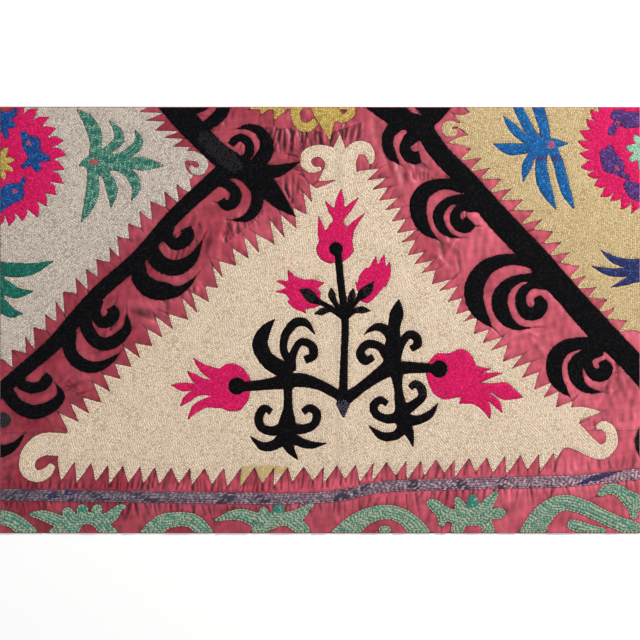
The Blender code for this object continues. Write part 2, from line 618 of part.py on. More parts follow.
TULIP_LEFT = [
    [(250, 386, 14), (245, 386, 34), (237, 387, 46), (227, 388, 46), (218, 389, 36), (211, 389, 20)],
    [(193, 358, 0), (203, 368, 8), (214, 374, 12), (228, 380, 16)],
    [(187, 371, 0), (196, 379, 8), (205, 384, 9), (222, 386, 14)],
    [(171, 385, 0), (182, 387, 8), (192, 387, 7), (200, 387, 6), (218, 388, 14)],
    [(180, 406, 0), (187, 399, 7), (198, 392, 7), (216, 390, 12)],
    [(188, 420, 0), (195, 409, 7), (206, 403, 9), (218, 401, 14), (232, 398, 20)],
]
TULIP_RIGHT = [
    [(431, 360, 18), (438, 367, 34), (446, 372, 50), (457, 376, 52), (466, 381, 38), (476, 387, 20)],
    [(456, 366, 24), (470, 369, 10), (480, 370, 6), (491, 369, 0)],
    [(468, 380, 14), (482, 377, 8), (503, 373, 0)],
    [(474, 388, 12), (491, 388, 9), (504, 391, 17), (514, 395, 9), (523, 397, 0)],
    [(476, 393, 12), (488, 397, 7), (497, 404, 7), (502, 413, 0)],
    [(462, 394, 20), (477, 399, 12), (486, 408, 9), (490, 419, 0)],
]

# Plants, leaves and birds of the side fields
PLANT_TEAL = [
    [(94, 162, 12), (86, 163, 9), (79, 166, 0)],
    [(92, 162, 10), (96, 146, 11), (94, 131, 14), (86, 118, 9), (77, 110, 0)],
    [(92, 162, 10), (93, 180, 11), (92, 195, 13), (87, 210, 8), (81, 223, 0)],
    [(94, 160, 10), (107, 151, 8), (119, 140, 10), (117, 130, 7), (109, 121, 0)],
    [(94, 164, 10), (106, 175, 9), (112, 190, 11), (111, 208, 0)],
    [(96, 161, 10), (120, 157, 8), (134, 149, 10), (139, 140, 7), (135, 130, 0)],
    [(96, 164, 10), (120, 168, 8), (133, 178, 10), (136, 190, 7), (131, 201, 0)],
    [(94, 162, 12), (124, 163, 8), (143, 164, 13), (164, 166, 0)],
]
PLANT_BLUE = [
    [(530, 145, 9), (548, 144, 13), (568, 144, 0)],
    [(514, 98, 9), (523, 118, 10), (531, 134, 9), (542, 144, 8)],
    [(535, 98, 11), (541, 118, 11), (545, 132, 9), (547, 144, 8)],
    [(503, 116, 0), (512, 127, 8), (523, 138, 8), (536, 144, 7)],
    [(493, 144, 0), (508, 149, 11), (523, 149, 10), (538, 146, 9)],
    [(542, 146, 8), (531, 157, 8), (526, 168, 9), (523, 182, 0)],
    [(544, 144, 10), (541, 163, 11), (543, 182, 13), (549, 196, 9), (556, 210, 0)],
    [(550, 146, 10), (558, 163, 10), (563, 183, 10), (568, 197, 8), (574, 209, 0)],
]
LEAVES_GREEN = [
    [(-6, 268, 10), (12, 270, 14), (32, 269, 11), (54, 261, 0)],
    [(-6, 280, 12), (6, 288, 14), (18, 293, 10), (34, 291, 0)],
    [(-6, 298, 12), (2, 306, 13), (12, 313, 9), (23, 314, 0)],
    [(0, 262, 8), (0, 312, 8)],
]
LEAVES_NAVY = [
    [(646, 264, 12), (631, 264, 9), (614, 260, 7), (600, 250, 0)],
    [(646, 268, 14), (627, 272, 9), (608, 272, 7), (591, 266, 0)],
    [(646, 274, 12), (630, 280, 8), (610, 288, 0)],
    [(650, 282, 16), (640, 298, 11), (627, 302, 0)],
]
BIRDS = {
    "bird_left_upper": [
        [(-6, 118, 16), (5, 119, 14), (12, 115, 7), (17, 110, 4)],
        [(0, 121, 12), (9, 124, 8), (15, 126, 4)],
        [(-2, 122, 12), (5, 130, 7), (7, 138, 4)],
    ],
    "bird_left_middle": [
        [(31, 136.5, 7), (31, 140, 17), (31.5, 146, 18), (34, 153, 14), (35, 160, 12)],
        [(22, 132, 4), (25, 137, 7), (30, 143, 10)],
        [(34, 152, 12), (42, 157, 8), (49.5, 159.5, 4)],
        [(34, 156, 12), (36, 165, 9), (39, 171, 4)],
        [(34, 158, 10), (28, 163.5, 6), (22, 167, 4)],
    ],
    "bird_left_lower": [
        [(23.5, 192, 9), (18, 192.5, 18), (11, 193.5, 20), (2, 201, 17), (-8, 212, 12)],
        [(25, 178, 4), (21, 185, 5), (16, 192, 8)],
    ],
    "bird_right_upper": [
        [(612, 114, 7), (618, 117, 12), (626, 120, 16), (634, 120, 15), (650, 117, 15)],
        [(620, 121, 8), (614, 127, 6), (611.5, 131, 8), (611, 135, 4)],
    ],
    "bird_right_middle": [
        [(601.5, 150.5, 4), (605, 156, 12), (611, 163, 21), (617, 166, 17), (623, 165, 8)],
        [(609, 146, 4), (610, 153, 9), (611, 161, 14)],
        [(614, 168, 10), (621, 174, 6), (629, 179, 4)],
    ],
    "bird_right_lower": [
        [(625, 182, 5), (634, 191, 16), (646, 197, 12)],
    ],
}

# The gold point that hangs from the top edge
GOLD_POINT = [
    [(250, 106, 7), (348, 106, 7)],
    [(266, 100, 16), (265, 107, 11), (261, 115, 0)],
    [(281, 100, 18), (279, 110, 11), (274, 120, 0)],
    [(298, 102, 14), (295, 115, 9), (300, 126, 9), (309, 127, 9), (316, 121, 7)],
    [(325, 98, 34), (326, 112, 26), (327, 124, 14), (330, 141, 0)],
    [(334, 114, 14), (343, 119, 8), (351, 113, 8), (351, 104, 9)],
]

# Green scrolls of the border
BORDER = {
    "border_arc_first": [[(-6, 516, 15), (12, 520, 15), (27, 532, 17), (34, 542, 17)]],
    "border_flower_first": [
        [(29, 515, 2), (42, 515, 10), (58, 521, 13), (80, 530, 16)],
        [(82, 526, 14), (72, 518, 11), (67.5, 512, 11), (66, 508, 6)],
        [(84, 524, 14), (83, 515, 11), (82.5, 509, 11), (82, 505, 6)],
        [(90, 524, 14), (95, 515, 11), (97.5, 509, 10), (98, 505, 6)],
        [(84, 520, 14), (104, 520, 12), (114, 514, 11), (121, 507, 6), (126, 506, 3)],
        [(72, 526, 14), (60, 532, 14), (48, 540, 14)],
        [(98, 522, 12), (108, 532, 14), (120, 542, 14)],
    ],
    "border_arch_second": [[(146, 542, 22), (160, 524, 17), (180, 519, 14), (196, 523, 15), (208, 540, 18)]],
    "border_flower_second": [
        [(215, 521, 2), (228, 516, 8), (243, 515, 12), (262, 522, 16), (280, 520, 14)],
        [(266, 522, 14), (264, 514, 10), (262.5, 508, 7)],
        [(274, 520, 14), (278, 513, 12), (279, 508, 11), (279, 505, 6)],
        [(276, 520, 14), (294, 517, 13), (304, 511, 10), (309, 506, 5), (314, 504.5, 3)],
        [(262, 522, 16), (258, 542, 18)],
        [(290, 520, 14), (303, 530, 13), (306, 542, 12)],
    ],
    "border_arch_third": [
        [(340, 542, 28), (354, 525, 20), (368, 516, 16), (385, 512, 14), (402, 516, 15), (416, 528, 18), (426, 542, 18)],
    ],
    "border_ball_third": [[(384, 526, 10), (386, 542, 16)]],
    "border_flower_third": [
        [(427, 501.5, 4), (434, 505, 12), (442, 512, 13), (452, 516, 13), (474, 516, 16)],
        [(440, 510, 10), (443, 518, 11), (441, 526, 4)],
        [(466, 516, 14), (460, 506, 11), (456, 497, 3)],
        [(472, 516, 14), (473, 505, 13), (472.5, 499, 10), (472, 495, 5)],
        [(458, 519, 14), (491, 519, 14)],
        [(476, 516, 14), (487, 505, 12), (493, 497, 8), (497, 492, 3)],
        [(474, 516, 12), (490, 514.5, 9), (500, 513, 11), (504.5, 513, 6)],
        [(462, 514, 14), (458, 526, 13), (456, 542, 14)],
        [(480, 514, 12), (487, 526, 12), (490, 542, 14)],
    ],
    "border_arch_fourth": [
        [(528, 542, 26), (541, 517, 21), (560, 503, 16), (580, 506, 15), (600, 515, 14), (620, 524, 14), (650, 534, 14)],
    ],
    "border_buds_fourth": [[(568, 523, 9), (577, 526, 11), (590, 529, 9), (604, 534, 12)]],
    "border_leaf_last": [
        [(598, 495.5, 3), (605, 490, 9), (614, 489, 11), (623, 494, 13), (630, 502, 14), (634, 511, 10), (633, 519, 4)],
        [(622, 494, 12), (634, 500, 14), (652, 509, 14)],
    ],
}
VINE_SLIT = [(407, 102, 9), (413, 110, 5), (422, 115, 0)]
BORDER_HOLES = {
    "border_flower_first": disc(88, 532, 8),
    "border_flower_second": disc(281, 534, 8),
    "border_flower_third": [],
}


def strokes(table):
    return [shape for rows in table for shape in stroke(rows)]


def field(*lines):
    """A field of stitches whose edge follows the lines in turn."""
    return [[point for line in lines for point in line]]


def build():
    clear_scene()
    parts = bpy.data.collections.new("suzani_cloth")
    bpy.context.scene.collection.children.link(parts)
    finished = {}

    def thread(name, shapes, cuts, slot):
        thread_piece(name, shapes, cuts, slot, parts, finished)

    # Pieces that lie inside others come first, as the later ones are cut clear of them
    for name, table in BIRDS.items():
        thread(name, strokes(table), [], "royal" if "left" in name else "purple")
    thread("star_left", rosette(-3, 163, 19, 10, 9, 8, 0.0), [], "gold")
    thread("star_right", rosette(646, 151, 21, 12, 9, 14, 0.0), [], "mint")
    left_birds = [name for name in BIRDS if "left" in name]
    right_birds = [name for name in BIRDS if "right" in name]
    thread("rosette_left", rosette(0, 162, 65.5, 52, 29, -2, 0.2), left_birds + ["star_left"], "pink")
    thread("rosette_right", rosette(645, 147, 66, 54.5, 35, 2, 0.2), right_birds + ["star_right"], "pink")
    thread("plant_teal", strokes(PLANT_TEAL), [], "teal")
    thread("plant_blue", strokes(PLANT_BLUE), [], "blue")
    thread("leaves_green", strokes(LEAVES_GREEN), [], "dark_green")
    thread("leaves_navy", strokes(LEAVES_NAVY), [], "navy")
    spray = strokes(SPRAY_MIDDLE) + strokes(SPRAY_LEFT) + strokes(SPRAY_RIGHT)
    spray += disc(336, 249, 6.7) + disc(237, 386, 8.5) + disc(439, 369, 8.5)
    thread("spray_stems", spray, [], "black")
    thread("tulip_top", strokes(TULIP_TOP), ["spray_stems"], "pink")
    thread("bud_left", strokes(BUD_LEFT), ["spray_stems"], "pink")
    thread("bud_right", strokes(BUD_RIGHT), ["spray_stems"], "pink")
    thread("tulip_left", strokes(TULIP_LEFT), ["spray_stems"], "pink")
    thread("tulip_right", strokes(TULIP_RIGHT), ["spray_stems"], "pink")

    # Stripe and vines
    thread("stripe", stroke(STRIPE), [], "lavender")
    thread("vine_left", strokes(VINE_LEFT), [], "black")
    finished["vine_slit_hole"] = stroke(VINE_SLIT)
    thread("vine_right", strokes(VINE_RIGHT), ["vine_slit_hole"], "black")
    thread("ball_left_edge", disc(3, 420, 7.5), [], "black")
    thread("leaf_left_edge", stroke([(-4, 452, 14), (6, 450, 11), (16, 444, 7), (25, 433, 0)]), [], "black")
    thread("leaf_right_edge", stroke([(641, 424, 0), (640, 442, 11), (643, 464, 0)]), [], "black")
    thread("gold_point", strokes(GOLD_POINT), ["vine_left", "vine_right"], "gold")

    # Fields
    flowers = ["tulip_top", "bud_left", "bud_right", "tulip_left", "tulip_right", "spray_stems"]
    triangle = field(
        teeth(TRIANGLE_RIGHT, 26, (17, -2), (18, -8), 0.12),
        teeth(TRIANGLE_FOOT, 31, (-12.5, 17), (-13, 18)),
        teeth(TRIANGLE_LEFT, 24, (-8, -17), (-3, -22)))
    thread("field_triangle", triangle + strokes(TRIANGLE_ENDS), flowers + ["stripe", "vine_left", "vine_right"], "cream")
    grey = field(
        [(-20, 90), (126, 90)], teeth(GREY_UPPER, 6, (22, 1), (20, 1)), teeth(GREY_LOWER, 17, (2, 17), (1, 21)),
        [(-20, 372)])
    thread("field_grey", grey + strokes(GREY_ENDS), [
        "rosette_left", "plant_teal", "leaves_green", "vine_left"], "grey_white")
    straw = field(
        [(660, 90), (480, 90), (470, 108)], teeth(STRAW_LOWER, 17, (-12, 12), (-11, 13)), [(660, 352)])
    thread("field_straw", straw + strokes(STRAW_ENDS) + disc(450, 129, 8.3), [
        "rosette_right", "plant_blue", "leaves_navy", "vine_right"], "straw")

    # Border scrolls
    made = ["stripe"]
    for name, table in BORDER.items():
        holes = f"{name}_hole"
        finished[holes] = BORDER_HOLES.get(name, [])
        thread(name, strokes(table), made + [holes], "border_green")
        made.append(name)

    # Satin panels
    rings = [ring for name, group in finished.items() if not name.endswith("_hole") for ring in group]
    folds = all_folds()
    half_seam = SEAM_GAP / STEP / 2
    for side, low_x, high_x in (
            ("left", LEFT, SEAM_COLUMN - half_seam), ("right", SEAM_COLUMN + half_seam, RIGHT)):
        row = SEAM_ROWS[side]
        satin_panel(f"satin_upper_{side}", low_x, high_x, TOP, row - half_seam, folds, rings, parts)
        satin_panel(f"satin_lower_{side}", low_x, high_x, row + half_seam, FOOT, folds, rings, parts)


build()
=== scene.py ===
# %% [markdown]
# # A cut length of suzani, stitched in silk on rose satin
#
# A suzani is a large cover whose whole design is filled with chain stitch on joined strips of satin.
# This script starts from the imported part, which has one thin solid for each filled area and four thin
# satin panels. It lays real stitches over each area and gives the satin its folds and gathers.

# %% Start from the fixed frame
import math

import bpy
import numpy as np
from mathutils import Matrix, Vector
from mathutils.geometry import delaunay_2d_cdt
from mathutils.kdtree import KDTree


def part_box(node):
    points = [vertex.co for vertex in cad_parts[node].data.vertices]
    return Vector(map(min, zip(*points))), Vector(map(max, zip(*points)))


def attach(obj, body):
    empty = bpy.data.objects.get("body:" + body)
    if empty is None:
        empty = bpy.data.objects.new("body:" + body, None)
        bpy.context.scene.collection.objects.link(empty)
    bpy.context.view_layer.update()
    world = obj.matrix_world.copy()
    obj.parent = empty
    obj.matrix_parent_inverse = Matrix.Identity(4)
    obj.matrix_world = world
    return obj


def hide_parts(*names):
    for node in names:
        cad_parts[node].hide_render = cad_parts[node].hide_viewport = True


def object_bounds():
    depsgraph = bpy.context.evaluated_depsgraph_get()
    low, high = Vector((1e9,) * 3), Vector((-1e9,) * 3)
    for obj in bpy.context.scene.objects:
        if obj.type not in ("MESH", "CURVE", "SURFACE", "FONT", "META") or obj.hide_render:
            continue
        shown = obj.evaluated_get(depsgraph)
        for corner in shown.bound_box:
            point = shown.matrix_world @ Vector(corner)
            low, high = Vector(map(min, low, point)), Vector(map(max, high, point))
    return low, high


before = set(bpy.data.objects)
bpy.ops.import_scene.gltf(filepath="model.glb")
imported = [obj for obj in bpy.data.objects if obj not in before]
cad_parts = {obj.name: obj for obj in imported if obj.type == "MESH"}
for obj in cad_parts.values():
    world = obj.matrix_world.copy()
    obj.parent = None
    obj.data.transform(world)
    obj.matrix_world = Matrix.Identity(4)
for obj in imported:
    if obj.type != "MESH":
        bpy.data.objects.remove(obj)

cad_low, cad_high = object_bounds()
print("CAD box in mm:", [round(1000 * v, 1) for v in (*cad_low, *cad_high)])

# %% [markdown]
# ## Sizes
#
# Everything on the cloth is placed on a layout grid of 640 steps across its 0.9 m width, counted from the
# upper left corner. The reference picture is as many pixels wide, so places were read off it as columns and
# rows. A chain stitch is a few millimetres long and its rows lie side by side. These few numbers set the
# scale of all the rest.

# %% Grid and thread sizes
MM = 0.001
STEP = 0.9 / 640
ROW_PITCH = 1.9 * MM
STITCH_LENGTH = 3.4 * MM
STITCH_RISE = 0.55 * MM
SATIN_TOP = 1.0 * MM
SATIN_THICK = 0.45 * MM
BED_TOP = 1.95 * MM
BED_EDGE = 1.45 * MM
CELL = 0.6 * MM
REACH = 10 * MM
UNEVEN = 0.28 * MM
rng = np.random.default_rng(27)


def at(x, y):
    """A point of the layout grid in metres."""
    return (np.asarray(x, float) - 320) * STEP, (320 - np.asarray(y, float)) * STEP


def linear(red, green, blue):
    """A screen colour from 0 to 255 as the linear values that a shader takes."""
    c = np.array([red, green, blue]) / 255
    return np.where(c <= 0.04045, c / 12.92, ((c + 0.055) / 1.055) ** 2.4)


def drift(x, y, size, seed):
    """A slow random change over the cloth, from about -1 to 1, from a few crossed waves."""
    waves = np.random.default_rng(seed)
    total = np.zeros(np.shape(x))
    for _ in range(7):
        turn, phase = waves.uniform(0, 2 * math.pi, 2)
        rate = 2 * math.pi / (size * waves.uniform(0.6, 1.7))
        total += np.sin(rate * (x * math.cos(turn) + y * math.sin(turn)) + phase)
    return total / 3.2


print("a stitch is", STITCH_LENGTH / MM, "mm long and", ROW_PITCH / MM, "mm wide")

# %% [markdown]
# ## Camera, floor and light
#
# The cloth is seen from straight above, so its 0.9 m just fills the width of a square picture. A large soft
# lamp low on the upper right makes the stitches and the gathers of the satin throw small shadows, and a
# weaker one from the other side keeps those shadows soft.

# %% Camera
camera = bpy.data.objects.new("camera", bpy.data.cameras.new("camera"))
camera.data.lens = 85
camera.data.sensor_width = 36
camera.location = (0, 0, 0.9 / 36 * 85)
bpy.context.scene.collection.objects.link(camera)
bpy.context.scene.camera = camera


# %% Lamps and the light of the room
def lamp(name, place, size, watts, tint):
    """A square soft lamp that faces the middle of the cloth."""
    data = bpy.data.lights.new(name, "AREA")
    data.size, data.energy, data.color = size, watts, tint
    made = bpy.data.objects.new(name, data)
    made.location = place
    made.rotation_euler = (-Vector(place)).to_track_quat("-Z", "Y").to_euler()
    bpy.context.scene.collection.objects.link(made)


lamp("lamp_main", (1.9, 1.5, 1.45), 0.7, 92, (1.0, 0.985, 0.965))
lamp("lamp_fill", (-1.7, -0.9, 2.4), 1.6, 22, (0.97, 0.985, 1.0))
world = bpy.data.worlds.new("room")
world.use_nodes = True
world.node_tree.nodes["Background"].inputs["Color"].default_value = (1, 1, 1, 1)
world.node_tree.nodes["Background"].inputs["Strength"].default_value = 0.50
bpy.context.scene.world = world
bpy.context.scene.view_settings.view_transform = "Standard"


# %% A mesh from lists, and the pale floor
def mesh_object(name, points, faces, colours=None, smooth=True):
    """An object from a list of points and faces, with a colour on each point where they are given."""
    mesh = bpy.data.meshes.new(name)
    mesh.from_pydata(np.asarray(points).tolist(), [], np.asarray(faces).tolist())
    if colours is not None:
        # The colour on each point is the dye with painted shade and painted highlight mixed in
        layer = mesh.color_attributes.new("dye_and_shade", "FLOAT_COLOR", "POINT")
        values = np.ones((len(points), 4))
        values[:, :3] = colours
        layer.data.foreach_set("color", values.ravel())
    mesh.polygons.foreach_set("use_smooth", [smooth] * len(mesh.polygons))
    made = bpy.data.objects.new(name, mesh)
    bpy.context.scene.collection.objects.link(made)
    return made


floor = mesh_object("floor", [(-4, -4, 0), (4, -4, 0), (4, 4, 0), (-4, 4, 0)], [(0, 1, 2, 3)])
floor_paint = bpy.data.materials.new("floor_paint")
floor_paint.use_nodes = True
floor_shader = floor_paint.node_tree.nodes["Principled BSDF"]
floor_shader.inputs["Base Color"].default_value = (0.9, 0.9, 0.9, 1)
floor_shader.inputs["Roughness"].default_value = 0.8
floor.data.materials.append(floor_paint)
floor.location.z = -0.0002

# %% [markdown]
# ## Thread
#
# Suzani silk is dyed in small skeins, so one filled area always has lighter and darker stitches, and some
# areas mix two or three skeins on purpose. Each kind of thread is a short list of colours with the share
# of stitches that take them. The shares are drawn stitch by stitch, with a slow drift as a skein runs out.

# %% Colours of the threads
THREADS = {
    "cream": [(0.68, (236, 213, 186)), (0.20, (245, 227, 204)), (0.12, (204, 176, 147))],
    "grey_white": [(0.62, (211, 197, 183)), (0.22, (229, 217, 204)), (0.16, (170, 158, 147))],
    "straw": [(0.66, (213, 187, 139)), (0.20, (227, 204, 160)), (0.14, (184, 156, 108))],
    "gold": [(0.60, (203, 174, 90)), (0.20, (221, 197, 118)), (0.20, (165, 133, 62))],
    "black": [(0.62, (13, 12, 15)), (0.20, (26, 25, 28)), (0.18, (5, 5, 6))],
    "pink": [(0.60, (228, 16, 99)), (0.18, (238, 44, 120)), (0.22, (196, 10, 78))],
    "teal": [(0.24, (50, 112, 98)), (0.48, (84, 148, 130)), (0.28, (142, 182, 160))],
    "dark_green": [(0.60, (24, 112, 97)), (0.20, (52, 142, 122)), (0.20, (12, 80, 70))],
    "blue": [(0.64, (18, 100, 168)), (0.18, (48, 132, 196)), (0.18, (10, 70, 128))],
    "royal": [(0.62, (24, 76, 148)), (0.20, (54, 112, 184)), (0.18, (14, 48, 104))],
    "purple": [(0.62, (86, 50, 122)), (0.20, (122, 84, 158)), (0.18, (54, 28, 84))],
    "navy": [(0.62, (38, 52, 106)), (0.20, (66, 84, 142)), (0.18, (22, 30, 70))],
    "mint": [(0.60, (160, 206, 176)), (0.24, (190, 224, 200)), (0.16, (110, 168, 138))],
    "lavender": [(0.28, (104, 91, 108)), (0.40, (130, 117, 129)), (0.32, (155, 142, 149))],
    "border_green": [
        (0.22, (92, 142, 124)), (0.36, (128, 164, 145)), (0.24, (158, 182, 156)), (0.18, (174, 182, 154))],
}
# Threads whose skeins lie mixed in long flecks, with the heading of the flecks
FLECKED = {"lavender": 28, "border_green": 34, "teal": 66}
LONG_STITCHES = {"lavender": 6.2 * MM, "border_green": 5.2 * MM}
EXTRA = {
    "charcoal": (44, 41, 44), "ash": (62, 59, 62), "purple_grey": (84, 78, 98), "dark_slate": (62, 56, 74),
    "dark_purple": (48, 42, 98), "plum": (78, 38, 84), "gold_patch": (202, 172, 88),
    "pale_edge": (164, 182, 152), "teal_petal": (52, 140, 124), "eye": (206, 84, 92),
}


# %% A shader for thread
def node_into(tree, kind, **values):
    """A shader node with its named inputs set."""
    made = tree.nodes.new(kind)
    for key, value in values.items():
        made.inputs[key.replace("_", " ")].default_value = value
    return made


def thread_material(name, roughness, sheen, gloss):
    """Silk thread: the stitch's own colour with its painted shade, a fine twist in the relief and a soft
    sheen.
    """
    made = bpy.data.materials.new("thread_" + name)
    made.use_nodes = True
    tree = made.node_tree
    shader = tree.nodes["Principled BSDF"]
    shader.inputs["Roughness"].default_value = roughness
    shader.inputs["Sheen Weight"].default_value = sheen
    shader.inputs["Sheen Roughness"].default_value = 0.4
    shader.inputs["Specular IOR Level"].default_value = gloss
    dye_and_shade = tree.nodes.new("ShaderNodeAttribute")
    dye_and_shade.attribute_name = "dye_and_shade"
    where = tree.nodes.new("ShaderNodeTexCoord")
    fibre = node_into(tree, "ShaderNodeTexNoise", Scale=900.0, Detail=3.0)
    shade = node_into(tree, "ShaderNodeMapRange", To_Min=0.76, To_Max=1.22)
    tinted = tree.nodes.new("ShaderNodeVectorMath")
    tinted.operation = "SCALE"
    twist = node_into(tree, "ShaderNodeTexNoise", Scale=2600.0, Detail=2.0)
    bump = node_into(tree, "ShaderNodeBump", Strength=0.35, Distance=0.0003)
    join = tree.links.new
    join(where.outputs["Object"], fibre.inputs["Vector"])
    join(where.outputs["Object"], twist.inputs["Vector"])
    join(fibre.outputs["Fac"], shade.inputs["Value"])
    join(dye_and_shade.outputs["Color"], tinted.inputs[0])
    join(shade.outputs["Result"], tinted.inputs["Scale"])
    join(tinted.outputs["Vector"], shader.inputs["Base Color"])
    join(twist.outputs["Fac"], bump.inputs["Height"])
    join(bump.outputs["Normal"], shader.inputs["Normal"])
    return made


thread_shaders = {}
for thread in THREADS:
    thread_shaders[thread] = thread_material(thread, 0.7, 0.02, 0.04 if thread == "black" else 0.16)
print(len(thread_shaders), "thread materials")

# %% [markdown]
# ## Outlines of the filled areas
#
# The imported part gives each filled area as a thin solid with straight-sided edges. The stitcher's line is a
# smooth drawn curve with sharp tips, so the outline is read from the top face of the solid, and a soft curve
# is led through its points. Where the line turns sharply, the corner stays.


# %% Read the outline of a node
def outlines_of(node):
    """The closed outlines of a node's top face, in metres, the outer one and any holes."""
    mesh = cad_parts[node].data
    places = np.empty(3 * len(mesh.vertices))
    mesh.vertices.foreach_get("co", places)
    places = places.reshape(-1, 3)
    top = places[:, 2].max()
    seen, point_of, spots = {}, [], []
    for x, y, _ in places:
        key = (round(x * 1e5), round(y * 1e5))
        if key not in seen:
            seen[key] = len(spots)
            spots.append((x, y))
        point_of.append(seen[key])
    edges = {}
    for face in mesh.polygons:
        if face.normal.z > 0.5 and min(places[v][2] for v in face.vertices) > top - 0.2 * MM:
            ring = [point_of[v] for v in face.vertices]
            for a, b in zip(ring, ring[1:] + ring[:1]):
                if b in edges and a in edges[b]:
                    edges[b].remove(a)
                else:
                    edges.setdefault(a, []).append(b)
    loops = []
    for start in list(edges):
        while edges[start]:
            loop, here = [], start
            while edges.get(here):
                loop.append(spots[here])
                here = edges[here].pop()
            if len(loop) > 2:
                loops.append(np.array(loop))
    return loops


# %% Lead a soft curve through an outline
def softened(loop, spacing=2.6 * MM, sharp=78):
    """A smooth, slightly uneven curve through an outline. Sharp corners and the cut edge keep their form."""
    before = loop - np.roll(loop, 1, 0)
    after = np.roll(loop, -1, 0) - loop
    long_before = np.linalg.norm(before, axis=1)
    long_after = np.linalg.norm(after, axis=1)
    cosine = (before * after).sum(1) / np.maximum(long_before * long_after, 1e-12)
    corner = cosine < math.cos(math.radians(sharp))
    corner |= (np.abs(loop[:, 0]) > cad_high.x - 1.2 * MM) | (np.abs(loop[:, 1]) > cad_high.y - 1.2 * MM)
    along = before * (long_after / long_before)[:, None] + after * (long_before / long_after)[:, None]
    along /= np.maximum(np.linalg.norm(along, axis=1), 1e-12)[:, None]
    points = []
    for n in range(len(loop)):
        m = (n + 1) % len(loop)
        reach = long_after[n]
        chord = after[n] / reach
        leave = reach * chord if corner[n] else min(reach, 1.5 * long_before[n]) * along[n]
        arrive = reach * chord if corner[m] else min(reach, 1.5 * long_after[m]) * along[m]
        count = max(1, round(reach / spacing))
        t = (np.arange(count) / count)[:, None]
        points.append(
            (2 * t**3 - 3 * t**2 + 1) * loop[n] + (t**3 - 2 * t**2 + t) * leave
            + (3 * t**2 - 2 * t**3) * loop[m] + (t**3 - t**2) * arrive)
    points = np.concatenate(points)
    free = (np.abs(points[:, 0]) < cad_high.x - 4 * MM) & (np.abs(points[:, 1]) < cad_high.y - 4 * MM)
    return points + free[:, None] * np.clip(rng.normal(0, UNEVEN, points.shape), -2 * UNEVEN, 2 * UNEVEN)


# %% [markdown]
# ## How deep each spot lies inside its area
#
# A stitcher fills an area from its edge inwards, row beside row. The rows are therefore the lines that lie
# half a row, one and a half rows and so on from the outline. A fine grid of distances to the outline gives
# those lines for any shape, however many points and holes it has.


# %% Distance grid
def depth_grid(loops):
    """Grid of distances to the outline, positive inside and negative outside, with its lower left corner."""
    allp = np.concatenate(loops)
    low = allp.min(0) - 3 * CELL
    size = np.ceil((allp.max(0) + 3 * CELL - low) / CELL).astype(int) + 1
    xs = low[0] + CELL * np.arange(size[0])
    ys = low[1] + CELL * np.arange(size[1])
    away = np.full((size[1], size[0]), REACH)
    inside = np.zeros((size[1], size[0]), bool)
    for loop in loops:
        for (ax, ay), (bx, by) in zip(loop, np.roll(loop, -1, 0)):
            i0 = max(0, int((min(ax, bx) - REACH - low[0]) / CELL))
            i1 = int((max(ax, bx) + REACH - low[0]) / CELL) + 2
            j0 = max(0, int((min(ay, by) - REACH - low[1]) / CELL))
            j1 = int((max(ay, by) + REACH - low[1]) / CELL) + 2
            gx, gy = xs[None, i0:i1] - ax, ys[j0:j1, None] - ay
            dx, dy = bx - ax, by - ay
            t = np.clip((gx * dx + gy * dy) / max(dx * dx + dy * dy, 1e-15), 0, 1)
            part = away[j0:j1, i0:i1]
            np.minimum(part, np.hypot(gx - t * dx, gy - t * dy), out=part)
            if ay != by:
                first = math.ceil((min(ay, by) - low[1]) / CELL)
                last = math.ceil((max(ay, by) - low[1]) / CELL)
                for j in range(first, last):
                    cross = ax + (ys[j] - ay) / dy * dx
                    inside[j, max(0, math.ceil((cross - low[0]) / CELL)):] ^= True
    return low, np.where(inside, away, -away)


def depth_at(grid, x, y):
    """The depth at points in metres, and a large negative number off the grid."""
    low, depth = grid
    i = np.rint((x - low[0]) / CELL).astype(int)
    j = np.rint((y - low[1]) / CELL).astype(int)
    on = (i >= 0) & (j >= 0) & (i < depth.shape[1]) & (j < depth.shape[0])
    out = np.full(np.shape(x), -REACH)
    out[on] = depth[j[on], i[on]]
    return out


# %% Lines of equal depth
CASES = {
    1: [(0, 3)], 2: [(1, 0)], 3: [(1, 3)], 4: [(2, 1)], 5: [(0, 3), (2, 1)], 6: [(2, 0)], 7: [(2, 3)],
    8: [(3, 2)], 9: [(0, 2)], 10: [(1, 0), (3, 2)], 11: [(1, 2)], 12: [(3, 1)], 13: [(0, 1)], 14: [(3, 0)],
}


def level_lines(grid, level):
    """Closed lines at one depth, each an array of points with the deeper side on the left."""
    low, depth = grid
    g = depth - level
    wide = g.shape[1]
    s = (g > 0).astype(int)
    case = s[:-1, :-1] + 2 * s[:-1, 1:] + 4 * s[1:, 1:] + 8 * s[1:, :-1]
    follow = {}
    for number, pairs in CASES.items():
        j, i = np.nonzero(case == number)
        if len(j) == 0:
            continue
        sides = [2 * (j * wide + i), 2 * (j * wide + i + 1) + 1,
                 2 * ((j + 1) * wide + i), 2 * (j * wide + i) + 1]
        for a, b in pairs:
            follow.update(zip(sides[a].tolist(), sides[b].tolist()))
    lines = []
    while follow:
        start, here = follow.popitem()
        ids = [start]
        while here in follow:
            ids.append(here)
            here = follow.pop(here)
        ids = np.array(ids)
        j, i = np.divmod(ids // 2, wide)
        up = ids % 2
        g0, g1 = g[j, i], g[j + up, i + 1 - up]
        t = g0 / (g0 - g1)
        x = low[0] + CELL * (i + t * (1 - up))
        y = low[1] + CELL * (j + t * up)
        if len(ids) > 5:
            lines.append(np.stack([np.append(x, x[0]), np.append(y, y[0])], 1))
    return lines


